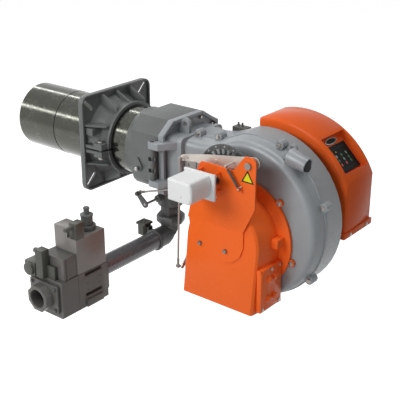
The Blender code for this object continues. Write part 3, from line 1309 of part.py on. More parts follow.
def gas_pressure_switch():
    """Pressure switch on a nipple from the elbow, with bare terminals on top"""
    half = 0.5 * ELBOW_SWITCH_WIDTH
    body = box((ELBOW_SWITCH_X - half, ELBOW_SWITCH_X + half),
               (ELBOW_SWITCH_Y - 0.5 * ELBOW_SWITCH_DEPTH, ELBOW_SWITCH_Y + 0.5 * ELBOW_SWITCH_DEPTH),
               (ELBOW_SWITCH_Z - 0.5 * ELBOW_SWITCH_HEIGHT, ELBOW_SWITCH_Z + 0.5 * ELBOW_SWITCH_HEIGHT))
    nipple = turned("X", (ELBOW_SWITCH_Y, PIPE_Z + 0.5 * ELBOW_SWITCH_NIPPLE),
                    [(ELBOW_SWITCH_X + half - JOIN_DEPTH, ELBOW_SWITCH_NIPPLE),
                                                                   (RISER_X - ELBOW_COLLAR - SEAT_GAP,
                                                                    ELBOW_SWITCH_NIPPLE)], SIDES_SMALL)
    pins = []
    for place in (-0.5, 0.0, 0.5):
        pins.append(box((ELBOW_SWITCH_X + place * half - 0.1 * half,
                         ELBOW_SWITCH_X + place * half + 0.1 * half),
                        (ELBOW_SWITCH_Y - 0.04 * half, ELBOW_SWITCH_Y + 0.04 * half),
                        (ELBOW_SWITCH_Z + 0.4 * ELBOW_SWITCH_HEIGHT,
                         ELBOW_SWITCH_Z + 0.5 * ELBOW_SWITCH_HEIGHT + 0.4 * half)))
    return finished(union(body, nipple, gathered(pins)), "gas_pressure_switch", "black_plastic", "head")


def door_outline(inset):
    """Arch outline of the door: flat top, sloping shoulders, wings at hinge height"""
    right = DOOR_RIGHT - inset
    left = -DOOR_LEFT + inset
    top = HEAD_TOP - inset
    points = [(left, -DOOR_BOTTOM + inset), (right, -DOOR_BOTTOM + inset), (right, DOOR_WING_Z - inset)]
    points += [(DOOR_KNEE - 0.4 * inset, DOOR_KNEE_Z - inset), (HEAD_TOP_HALF - 0.4 * inset, top),
               (-HEAD_TOP_HALF + 0.4 * inset, top)]
    points += [(left, DOOR_SHOULDER_Z - 0.4 * inset)]
    return points


def hinge_door():
    """Hinged adapter between head and fan: arched tray, duct, hinge lugs and lifting eye"""
    front = HEAD_FRONT + HEAD_LENGTH + SEAT_GAP
    plate = front + DOOR_PLATE
    rim = plate + DOOR_RIM_DEPTH
    body = prism("X", door_outline(0.0), front, rim)
    body = cut(body, prism("X", door_outline(DOOR_RIM_WIDTH), plate, rim + CUT_OVERRUN))
    half = DUCT_HALF_WIDTH
    duct = prism("X", rounded((-half, -DUCT_BOTTOM), (half, DUCT_TOP), DUCT_CORNER), plate - JOIN_DEPTH,
                 DUCT_END)
    lip = DUCT_FLANGE_LIP
    flange = prism("X", rounded((-half - lip, -DUCT_BOTTOM - lip), (half + lip, DUCT_TOP + lip),
                                DUCT_CORNER),
                   DUCT_END - DUCT_FLANGE, DUCT_END)
    lugs = []
    for low in (HINGE_BARREL_TOP + RUNNING_GAP, -HINGE_BARREL_BOTTOM - RUNNING_GAP - HINGE_LUG_HEIGHT):
        high = low + HINGE_LUG_HEIGHT
        lugs.append(hinge_cylinder(low, high, HINGE_BARREL_RADIUS))
        lugs.append(box((HINGE_X, plate + 0.25 * HINGE_ARM_REACH),
                        (HINGE_Y - HINGE_BARREL_RADIUS, HINGE_Y + 0.6 * HINGE_BARREL_RADIUS), (low, high)))
        arm = [(front, HINGE_Y - 0.3 * HINGE_BARREL_RADIUS),
               (plate + 0.25 * HINGE_ARM_REACH, HINGE_Y - HINGE_BARREL_RADIUS)]
        arm += [(front + HINGE_ARM_REACH, -half + JOIN_DEPTH), (front, -half + JOIN_DEPTH)]
        lugs.append(prism("Z", arm, low, high))
    eye = prism("Y", [(rim - EYE_PLATE_LENGTH * 0.3, DUCT_TOP - 0.5 * DUCT_WALL),
                      (rim + EYE_PLATE_LENGTH, DUCT_TOP - 0.5 * DUCT_WALL)]
                + arc((rim + 0.5 * EYE_PLATE_LENGTH, DUCT_TOP + EYE_PLATE_HEIGHT * 0.62),
                      EYE_PLATE_HEIGHT * 0.38, 0, 180, 8),
                EYE_PLATE_Y - 0.5 * EYE_PLATE_THICKNESS, EYE_PLATE_Y + 0.5 * EYE_PLATE_THICKNESS)
    body = union(body, duct, flange, eye, *lugs)
    inner = half - DUCT_WALL
    room = prism("X", rounded((-inner, -DUCT_BOTTOM + DUCT_WALL), (inner, DUCT_TOP - DUCT_WALL),
                              DUCT_CORNER - DUCT_WALL),
                 front - CUT_OVERRUN, DUCT_END + CUT_OVERRUN)
    eye_hole = turned("Y", (rim + 0.5 * EYE_PLATE_LENGTH, DUCT_TOP + EYE_PLATE_HEIGHT * 0.62),
                      [(EYE_PLATE_Y - EYE_PLATE_THICKNESS, EYE_HOLE_RADIUS),
                       (EYE_PLATE_Y + EYE_PLATE_THICKNESS, EYE_HOLE_RADIUS)], SIDES_SMALL)
    low = -HINGE_BARREL_BOTTOM - HINGE_LUG_HEIGHT - 2 * HINGE_BARREL_RADIUS
    high = HINGE_BARREL_TOP + HINGE_LUG_HEIGHT + 2 * HINGE_BARREL_RADIUS
    pin_hole = hinge_cylinder(low, high, HINGE_PIN_RADIUS + SEAT_GAP)
    places = [(-DOOR_BOLT_HALF_SPACING, DOOR_BOLT_Z), (DOOR_BOLT_HALF_SPACING, DOOR_BOLT_Z)]
    places += [(CLOSE_EDGE - 2 * CLOSE_LUG_HALF, CLOSE_Z)]
    sink = DOOR_PLATE * BOLT_SINK_SHARE
    holes = screw_holes("X", places, plate, 1, SEAM_BOLT_HEAD, sink)
    bolts("door_bolt", "X", places, plate, 1, SEAM_BOLT_HEAD, SEAM_BOLT_HEAD_HEIGHT, sink)
    body = cut(body, room, eye_hole, pin_hole, holes)
    return finished(body, "hinge_door", "light_casting", "swing")


def scroll_outline(offset):
    """Side view of the fan housing: neck, rise, round scroll and its tongue"""
    centre = (SCROLL_X, SCROLL_Z)
    radius = SCROLL_RADIUS + offset
    neck = NECK_START + 2 * JOIN_DEPTH - NECK_MOUTH_SHARE * offset
    top = NECK_TOP + offset
    crest = arc(centre, radius, SCROLL_JOIN_ANGLE, -90, 27)
    points = [(neck, top), (NECK_RISE_START, top)]
    rise = (crest[0][0] - NECK_RISE_START, crest[0][1] - top)
    for share, lift in NECK_RISE_SHARES:
        points.append((NECK_RISE_START + rise[0] * share, top + rise[1] * lift))
    points += crest
    steps = 8
    for step in range(1, steps + 1):
        share = step / steps
        angle = math.radians(-90 - SCROLL_CLOSE_SWEEP * share)
        reach = SCROLL_RADIUS * (1 - SCROLL_CLOSE_SHARE * share) + offset
        points.append((centre[0] + reach * math.cos(angle), centre[1] + reach * math.sin(angle)))
    last = points[-1]
    bottom = -NECK_BOTTOM - offset
    for across, down in TONGUE_NOSE_SHARES:
        points.append((last[0] - across * NECK_TONGUE, bottom - down * NECK_TONGUE))
    points.append((neck, bottom))
    return points


def housing_halves():
    """Die-cast fan scroll in two halves that meet at a bolted seam"""
    profile = []
    for step in range(4):
        angle = math.radians(90 * step / 3)
        profile.append((-SCROLL_FRONT + SCROLL_FILLET * (1 - math.cos(angle)),
                        -SCROLL_FILLET * (1 - math.sin(angle)) - SCROLL_DRAFT))
    bead = SEAM_BEAD_WIDTH
    profile += [(SEAM_Y - bead, 0.0), (SEAM_Y - bead, SEAM_BEAD), (SEAM_Y + bead, SEAM_BEAD),
                (SEAM_Y + bead, 0.0)]
    profile += [(SCROLL_BACK - SCROLL_DRAFT, SCROLL_DRAFT), (SCROLL_BACK, 0.0)]
    rings = [[(x_place, along, z_place) for x_place, z_place in scroll_outline(offset)] for along,
             offset in profile]
    body = loft(rings)
    neck_outer = loft([neck_ring(NECK_START, NECK_FRONT_HALF, 0.0),
                       neck_ring(NECK_START + NECK_TAPER, SCROLL_BACK - SCROLL_DRAFT, 0.0)])
    lip = NECK_START + DUCT_FLANGE
    rim = DUCT_FLANGE_LIP
    half = DUCT_HALF_WIDTH + rim
    mouth = prism("X", rounded((-half, -DUCT_BOTTOM - rim), (half, DUCT_TOP + rim), DUCT_CORNER),
                  NECK_START, lip)
    lugs = []
    front_bolts = []
    for angle in SEAM_LUG_ANGLES:
        place = scroll_point(angle, SCROLL_RADIUS + SEAM_LUG_PROUD)
        front_bolts.append(place)
        lugs.append(turned("Y", place, [(SEAM_Y - SEAM_LUG_DEPTH, SEAM_LUG_RADIUS),
                                        (SEAM_Y + SEAM_LUG_DEPTH, SEAM_LUG_RADIUS)], SIDES_SMALL))
    neck_lug = (NECK_LUG_X, NECK_TOP + SEAM_LUG_PROUD)
    front_bolts.append(neck_lug)
    lugs.append(turned("Y", neck_lug, [(SEAM_Y - SEAM_LUG_DEPTH, SEAM_LUG_RADIUS),
                                       (SEAM_Y + SEAM_LUG_DEPTH, SEAM_LUG_RADIUS)], SIDES_SMALL))
    eye_place = scroll_point(LIFT_EYE_ANGLE, SCROLL_RADIUS + LIFT_EYE_REACH)
    root = scroll_point(LIFT_EYE_ANGLE, SCROLL_RADIUS - LIFT_EYE_REACH)
    eye = hull_pair("Y", root, 1.5 * SEAM_LUG_RADIUS, eye_place, 0.9 * SEAM_LUG_RADIUS,
                    SEAM_Y + SEAT_GAP * 0.5, SEAM_Y + 0.8 * SEAM_LUG_DEPTH, SIDES_SMALL)
    sight = turned("X", (SIGHT_TUBE_Y, SIGHT_TUBE_Z),
                   [(SIGHT_TUBE_END - SIGHT_TUBE_REACH, 1.25 * SIGHT_TUBE_RADIUS),
                                                       (SIGHT_TUBE_END - 0.35 * SIGHT_TUBE_REACH,
                                                        SIGHT_TUBE_RADIUS),
                                                       (SIGHT_TUBE_END, SIGHT_TUBE_RADIUS)], SIDES_MEDIUM)
    turn(sight, SIGHT_TUBE_TILT, "Y", (SIGHT_TUBE_END, SIGHT_TUBE_Y, SIGHT_TUBE_Z))
    body = union(body, neck_outer, mouth, sight, eye, *lugs)
    wall = SCROLL_WALL
    inside = []
    for along, offset in ((-SCROLL_FRONT + wall, -SCROLL_FILLET - SCROLL_DRAFT),
                          (-SCROLL_FRONT + SCROLL_FILLET, -wall - SCROLL_DRAFT),
                          (SCROLL_BACK - wall, -wall - SCROLL_DRAFT)):
        inside.append([(x_place, along, z_place) for x_place, z_place in scroll_outline(offset)])
    room = loft(inside)
    neck_room = loft([neck_ring(NECK_START - CUT_OVERRUN, NECK_FRONT_HALF, wall),
                      neck_ring(NECK_START + NECK_TAPER, SCROLL_BACK - SCROLL_DRAFT, wall)])
    front_room = box((NECK_START - CUT_OVERRUN, NECK_START + NECK_TAPER),
                     (-SCROLL_FRONT + SCROLL_FILLET, SCROLL_BACK - wall),
                     (-NECK_BOTTOM + wall + SCROLL_DRAFT, NECK_TOP - wall - SCROLL_DRAFT))
    inlet = turned("Y", (FAN_X, FAN_Z), [(-SCROLL_FRONT - CUT_OVERRUN, INLET_RADIUS),
                                         (-SCROLL_FRONT + 2 * wall, INLET_RADIUS)], SIDES_LARGE)
    motor_hole = turned("Y", (FAN_X, FAN_Z),
                        [(SCROLL_BACK - 2 * wall, MOTOR_HOLE_RADIUS),
                         (SCROLL_BACK + CUT_OVERRUN, MOTOR_HOLE_RADIUS)],
                        SIDES_LARGE)
    sight_bore = turned("X", (SIGHT_TUBE_Y, SIGHT_TUBE_Z),
                        [(SIGHT_TUBE_END - SIGHT_TUBE_REACH - 2 * wall, SIGHT_TUBE_BORE),
                                                            (SIGHT_TUBE_END + CUT_OVERRUN,
                                                             SIGHT_TUBE_BORE)], SIDES_MEDIUM)
    turn(sight_bore, SIGHT_TUBE_TILT, "Y", (SIGHT_TUBE_END, SIGHT_TUBE_Y, SIGHT_TUBE_Z))
    eye_hole = turned("Y", eye_place, [(SEAM_Y - SEAM_LUG_DEPTH, LIFT_EYE_HOLE),
                                       (SEAM_Y + SEAM_LUG_DEPTH, LIFT_EYE_HOLE)], SIDES_SMALL)
    holes = screw_holes("Y", front_bolts, SEAM_Y - SEAM_LUG_DEPTH, -1, SEAM_BOLT_HEAD,
                        SEAM_LUG_DEPTH + SEAM_LUG_DEPTH * SEAM_SINK_SHARE)
    body = cut(body, room, neck_room, front_room, inlet, motor_hole, sight_bore, eye_hole, holes)
    back = body.copy()
    back.data = body.data.copy()
    bpy.context.scene.collection.objects.link(back)
    far = 2 * SCROLL_RADIUS
    x_range = (SCROLL_X - far, SCROLL_X + far)
    z_range = (SCROLL_Z - far, SCROLL_Z + far)
    body = cut(body, box(x_range, (SEAM_Y - 0.5 * SEAT_GAP, SCROLL_FRONT + SCROLL_BACK), z_range))
    back = cut(back, box(x_range, (-SCROLL_FRONT - SCROLL_BACK, SEAM_Y + 0.5 * SEAT_GAP), z_range))
    finished(body, "fan_housing_front", "light_casting", "swing")
    finished(back, "fan_housing_back", "light_casting", "swing")


def scroll_point(angle, radius):
    """A place by angle and radius about the scroll's centre"""
    lean = math.radians(angle)
    return (SCROLL_X + radius * math.cos(lean), SCROLL_Z + radius * math.sin(lean))


def neck_ring(along, back, wall):
    """Cross section of the neck behind the seam, reaching to its back wall"""
    low = -NECK_BOTTOM + wall + JOIN_DEPTH
    high = NECK_TOP - wall - JOIN_DEPTH
    return [(along, across, up) for across,
            up in rounded((-0.5 * SCROLL_BACK, low), (back - wall, high), DUCT_CORNER - 0.5 * wall)]


def sight_glass():
    """Dark glass set inside the mouth of the sight tube"""
    end = SIGHT_TUBE_END - SIGHT_GLASS_RECESS
    glass = turned("X", (SIGHT_TUBE_Y, SIGHT_TUBE_Z),
                   [(end - SIGHT_GLASS_THICKNESS, SIGHT_TUBE_BORE - SEAT_GAP),
                    (end, SIGHT_TUBE_BORE - SEAT_GAP)],
                   SIDES_MEDIUM)
    turn(glass, SIGHT_TUBE_TILT, "Y", (SIGHT_TUBE_END, SIGHT_TUBE_Y, SIGHT_TUBE_Z))
    return finished(glass, "sight_glass", "dark_glass", "swing")


def impeller():
    """Forward-curved fan wheel on its hub"""
    back = SCROLL_BACK - SCROLL_WALL - IMPELLER_BACK_GAP
    front = back - IMPELLER_WIDTH
    disc = turned("Y", (FAN_X, FAN_Z), [(back - IMPELLER_PLATE, IMPELLER_RADIUS), (back, IMPELLER_RADIUS)],
                  SIDES_LARGE)
    hub = turned("Y", (FAN_X, FAN_Z), [(back - IMPELLER_HUB, IMPELLER_HUB),
                                       (back - JOIN_DEPTH, IMPELLER_HUB)], SIDES_MEDIUM)
    ring = turned("Y", (FAN_X, FAN_Z), [(front, IMPELLER_RADIUS), (front + IMPELLER_PLATE, IMPELLER_RADIUS),
                                        (front + IMPELLER_PLATE, IMPELLER_BORE), (front,
                                                                                  IMPELLER_BORE)], SIDES_LARGE, True)
    blades = []
    depth = IMPELLER_RADIUS - IMPELLER_BORE
    for number in range(IMPELLER_BLADES):
        blade = box((IMPELLER_BORE + 0.1 * depth, IMPELLER_RADIUS - 0.05 * depth),
                    (front + 0.5 * IMPELLER_PLATE, back - 0.5 * IMPELLER_PLATE),
                    (-0.5 * IMPELLER_BLADE, 0.5 * IMPELLER_BLADE))
        turn(blade, IMPELLER_BLADE_ANGLE, "Y", (IMPELLER_BORE + 0.5 * depth, 0.0, 0.0))
        turn(blade, 360 * number / IMPELLER_BLADES, "Y")
        blades.append(move(blade, (FAN_X, 0.0, FAN_Z)))
    body = union(disc, hub, ring, gathered(blades))
    bore = turned("Y", (FAN_X, FAN_Z), [(back - IMPELLER_HUB - CUT_OVERRUN, SHAFT_RADIUS + SEAT_GAP),
                                        (back + CUT_OVERRUN, SHAFT_RADIUS + SEAT_GAP)],
                  SIDES_SMALL)
    return finished(cut(body, bore), "impeller", "galvanised", "fan")


def motor_shaft():
    """Shaft from the motor to the fan wheel"""
    front = SCROLL_BACK - SCROLL_WALL - IMPELLER_BACK_GAP - IMPELLER_HUB
    back = motor_back() + 0.4 * MOTOR_COWL_LENGTH
    return finished(turned("Y", (FAN_X, FAN_Z), [(front, SHAFT_RADIUS), (back, SHAFT_RADIUS)], SIDES_SMALL),
                    "motor_shaft", "bright_steel", "fan")


def motor_front():
    """Seat of the motor on the back of the fan housing"""
    return SCROLL_BACK + SEAT_GAP


def motor_back():
    """Rear end of the motor frame"""
    return motor_front() + MOTOR_FLANGE + MOTOR_LENGTH


def fan_motor():
    """Finned motor with its face flange and terminal box"""
    front = motor_front()
    back = motor_back()
    flange = turned("Y", (FAN_X, FAN_Z), [(front, MOTOR_FLANGE_RADIUS),
                                          (front + MOTOR_FLANGE, MOTOR_FLANGE_RADIUS)], SIDES_LARGE)
    outline = []
    for number in range(MOTOR_FIN_COUNT):
        for share, radius in ((0.0, MOTOR_RADIUS), (0.45, MOTOR_RADIUS), (0.5, MOTOR_RADIUS - MOTOR_FIN),
                              (0.95, MOTOR_RADIUS - MOTOR_FIN)):
            angle = math.tau * (number + share) / MOTOR_FIN_COUNT
            outline.append((FAN_X + radius * math.cos(angle), FAN_Z + radius * math.sin(angle)))
    frame = prism("Y", outline, front + MOTOR_FLANGE - JOIN_DEPTH, back)
    low = FAN_Z - MOTOR_RADIUS - MOTOR_BOX_HEIGHT
    terminal = box((FAN_X - 0.5 * MOTOR_BOX_WIDTH, FAN_X + 0.5 * MOTOR_BOX_WIDTH),
                   (front + 2 * MOTOR_FLANGE, front + 2 * MOTOR_FLANGE + MOTOR_BOX_LENGTH), (low,
                                                                                             FAN_Z - 0.8 * MOTOR_RADIUS))
    body = union(flange, frame, terminal)
    bore = turned("Y", (FAN_X, FAN_Z), [(front - CUT_OVERRUN, SHAFT_RADIUS + RUNNING_GAP),
                                        (back + CUT_OVERRUN, SHAFT_RADIUS + RUNNING_GAP)], SIDES_SMALL)
    return finished(cut(body, bore), "fan_motor", "motor_grey", "swing")


def motor_cowl():
    """Cooling cowl on the rear of the motor, with a ring of slots"""
    front = motor_back() + SEAT_GAP
    back = front + MOTOR_COWL_LENGTH
    outer = MOTOR_RADIUS + MOTOR_COWL_WALL
    profile = [(front, outer), (back - MOTOR_COWL_WALL, outer), (back, outer - MOTOR_COWL_WALL)]
    profile += [(back, 0.15 * outer), (back - MOTOR_COWL_WALL, 0.15 * outer),
                (back - MOTOR_COWL_WALL, outer - MOTOR_COWL_WALL), (front, outer - MOTOR_COWL_WALL)]
    body = turned("Y", (FAN_X, FAN_Z), profile, SIDES_LARGE, True)
    slots = []
    for number in range(MOTOR_COWL_SLOTS):
        slot = box((0.3 * outer, 0.8 * outer), (back - 2 * MOTOR_COWL_WALL, back + CUT_OVERRUN),
                   (-MOTOR_COWL_WALL, MOTOR_COWL_WALL))
        turn(slot, 360 * number / MOTOR_COWL_SLOTS, "Y")
        slots.append(move(slot, (FAN_X, 0.0, FAN_Z)))
    return finished(cut(body, gathered(slots)), "motor_cowl", "motor_grey", "swing")


def hood_face(up):
    """Front of the leaning hood at a height"""
    return -HOOD_FRONT + HOOD_LEAN_SHARE * (up - HOOD_BOTTOM)


def hood_outline(half, radius, floor):
    """Arched outline of the hood: straight sides under a half round top"""
    points = [(HOOD_X - half, floor), (HOOD_X + half, floor)]
    points += arc((HOOD_X, HOOD_Z), radius, 0, 180, 20)
    return points


def hood_solid(inset, back, floor):
    """The hood's leaning body, shrunk by an inset"""
    face = hood_outline(HOOD_BOTTOM_HALF - inset, HOOD_RADIUS - inset, floor)
    root = hood_outline(HOOD_BACK_BOTTOM_HALF - inset, HOOD_BACK_RADIUS - inset, floor)
    edge = HOOD_EDGE if inset == 0.0 else 0.0
    small = hood_outline(HOOD_BOTTOM_HALF - inset - edge, HOOD_RADIUS - inset - edge, floor)
    rings = []
    if edge:
        rings.append([(across, hood_face(up), up) for across, up in small])
        rings.append([(across, hood_face(up) + edge, up) for across, up in face])
    else:
        rings.append([(across, hood_face(up) + inset, up) for across, up in face])
    rings.append([(across, back, up) for across, up in root])
    return loft(rings)


def intake_hood():
    """Leaning air intake hood on a bolted ring, open below"""
    back = -SCROLL_FRONT - SEAT_GAP
    ring_front = back - HOOD_RING_THICKNESS
    body = hood_solid(0.0, back, HOOD_BOTTOM)
    ring = turned("Y", (HOOD_X, HOOD_Z), [(ring_front, HOOD_RING_RADIUS), (back, HOOD_RING_RADIUS)],
                  SIDES_LARGE)
    parts = [ring]
    places = []
    for angle in HOOD_EAR_ANGLES:
        lean = math.radians(angle)
        place = (HOOD_X + HOOD_EAR_PLACE * math.cos(lean), HOOD_Z + HOOD_EAR_PLACE * math.sin(lean))
        places.append(place)
        parts.append(turned("Y", place, [(ring_front, HOOD_EAR_RADIUS), (back, HOOD_EAR_RADIUS)],
                            SIDES_SMALL))
    block_x = HOOD_X + HOOD_BACK_RADIUS
    parts.append(box((block_x - HOOD_WALL * 0.5, block_x + HOOD_BLOCK_DEPTH),
                     (back - HOOD_BLOCK_LENGTH, back - 0.5 * HOOD_RING_THICKNESS),
                     (HOOD_BLOCK_Z - 0.5 * HOOD_BLOCK_HEIGHT, HOOD_BLOCK_Z + 0.5 * HOOD_BLOCK_HEIGHT)))
    parts.append(box((SIDE_PLATE_X - 4 * SIDE_PLATE_THICKNESS, SIDE_PLATE_X),
                     (-SIDE_PLATE_FRONT, -SIDE_PLATE_FRONT + SIDE_PLATE_WIDTH),
                     (SIDE_PLATE_LOW, SIDE_PLATE_LOW + SIDE_PLATE_HEIGHT)))
    body = union(body, *parts)
    room = hood_solid(HOOD_WALL, ring_front + 0.5 * HOOD_RING_THICKNESS, HOOD_BOTTOM - CUT_OVERRUN)
    inlet = turned("Y", (FAN_X, FAN_Z), [(ring_front - CUT_OVERRUN, INLET_RADIUS),
                                         (back + CUT_OVERRUN, INLET_RADIUS)], SIDES_LARGE)
    left = HOOD_X - HOOD_BACK_BOTTOM_HALF
    shaft = turned("X", (DAMPER_Y, DAMPER_Z),
                   [(left - CUT_OVERRUN, DAMPER_SHAFT_RADIUS + SEAT_GAP),
                    (HOOD_X, DAMPER_SHAFT_RADIUS + SEAT_GAP)], SIDES_SMALL)
    ear_holes = screw_holes("Y", places, ring_front, -1, HOOD_BOLT_RADIUS,
                            HOOD_RING_THICKNESS * PORT_HOLE_SHARE)
    body = cut(body, room, inlet, shaft, ear_holes)
    return finished(body, "intake_hood", "orange_paint", "swing")


def intake_side_cover():
    """Cover plate with four bosses and corner screws on the hood's right side"""
    face = SIDE_PLATE_X + SEAT_GAP
    front = -SIDE_PLATE_FRONT
    rear = front + SIDE_PLATE_WIDTH
    low = SIDE_PLATE_LOW
    high = low + SIDE_PLATE_HEIGHT
    chamfer = 0.12 * SIDE_PLATE_WIDTH
    outline = [(front, low), (rear, low), (rear, high), (front + chamfer, high), (front, high - chamfer)]
    body = prism("X", outline, face, face + SIDE_PLATE_THICKNESS)
    bosses = []
    for across in (-0.5, 0.5):
        for up in (-0.5, 0.5):
            place = (front + SIDE_PLATE_WIDTH * 0.5 + across * SIDE_PLATE_BOSS_GAP_Y,
                     low + 0.5 * SIDE_PLATE_HEIGHT + up * SIDE_PLATE_BOSS_GAP_Z)
            bosses.append(turned("X", place,
                                 [(face + SIDE_PLATE_THICKNESS - JOIN_DEPTH * 0.5, SIDE_PLATE_BOSS),
                                              (face + 0.7 * SIDE_PLATE_BOSS_HEIGHT, SIDE_PLATE_BOSS),
                                              (face + SIDE_PLATE_BOSS_HEIGHT,
                                               0.7 * SIDE_PLATE_BOSS)], SIDES_SMALL))
    body = union(body, gathered(bosses))
    inset = 0.09 * SIDE_PLATE_WIDTH
    places = [(front + inset, low + inset), (rear - inset, low + inset), (rear - inset, high - inset),
              (front + 0.5 * SIDE_PLATE_WIDTH, high - inset)]
    holes = screw_holes("X", places, face + SIDE_PLATE_THICKNESS, 1, COVER_SCREW_RADIUS,
                        SIDE_PLATE_THICKNESS * BOLT_SINK_SHARE)
    body = cut(body, holes)
    return finished(body, "intake_side_cover", "orange_paint", "swing")


def damper_span():
    """Ends of the damper blade inside the hood"""
    inner = HOOD_BOTTOM_HALF - HOOD_WALL - DAMPER_END_GAP
    return HOOD_X - inner, HOOD_X + inner


def air_damper():
    """Butterfly blade and shaft across the air intake"""
    left, right = damper_span()
    shaft = turned("X", (DAMPER_Y, DAMPER_Z),
                   [(DAMPER_ARM_X - DAMPER_ARM_THICKNESS - SEAT_GAP, DAMPER_SHAFT_RADIUS),
                    (right, DAMPER_SHAFT_RADIUS)], SIDES_SMALL)
    blade = box((left, right), (DAMPER_Y - DAMPER_HALF_WIDTH, DAMPER_Y + DAMPER_HALF_WIDTH),
                (DAMPER_Z - 0.5 * DAMPER_THICKNESS, DAMPER_Z + 0.5 * DAMPER_THICKNESS))
    return finished(union(shaft, blade), "air_damper", "galvanised", "damper")


def damper_lever():
    """Lever of the damper outside the hood with the stud of its rod joint"""
    lean = math.radians(DAMPER_ARM_ANGLE)
    end = (DAMPER_Y - DAMPER_ARM * math.cos(lean), DAMPER_Z - DAMPER_ARM * math.sin(lean))
    left = DAMPER_ARM_X - DAMPER_ARM_THICKNESS
    plate = hull_pair("X", (DAMPER_Y, DAMPER_Z), 1.8 * DAMPER_SHAFT_RADIUS, end, 1.2 * DAMPER_SHAFT_RADIUS,
                      left, DAMPER_ARM_X, SIDES_SMALL)
    stud = turned("X", end, [(AIR_ROD_FOOT_X + EYE_HALF + SEAT_GAP, 0.6 * DAMPER_SHAFT_RADIUS),
                             (left + JOIN_DEPTH, 0.6 * DAMPER_SHAFT_RADIUS)], SIDES_SMALL)
    hole = turned("X", (DAMPER_Y, DAMPER_Z),
                  [(left - CUT_OVERRUN, DAMPER_SHAFT_RADIUS + SEAT_GAP),
                   (DAMPER_ARM_X + CUT_OVERRUN, DAMPER_SHAFT_RADIUS + SEAT_GAP)], SIDES_SMALL)
    return finished(cut(union(plate, stud), hole), "damper_lever", "bright_steel", "damper")


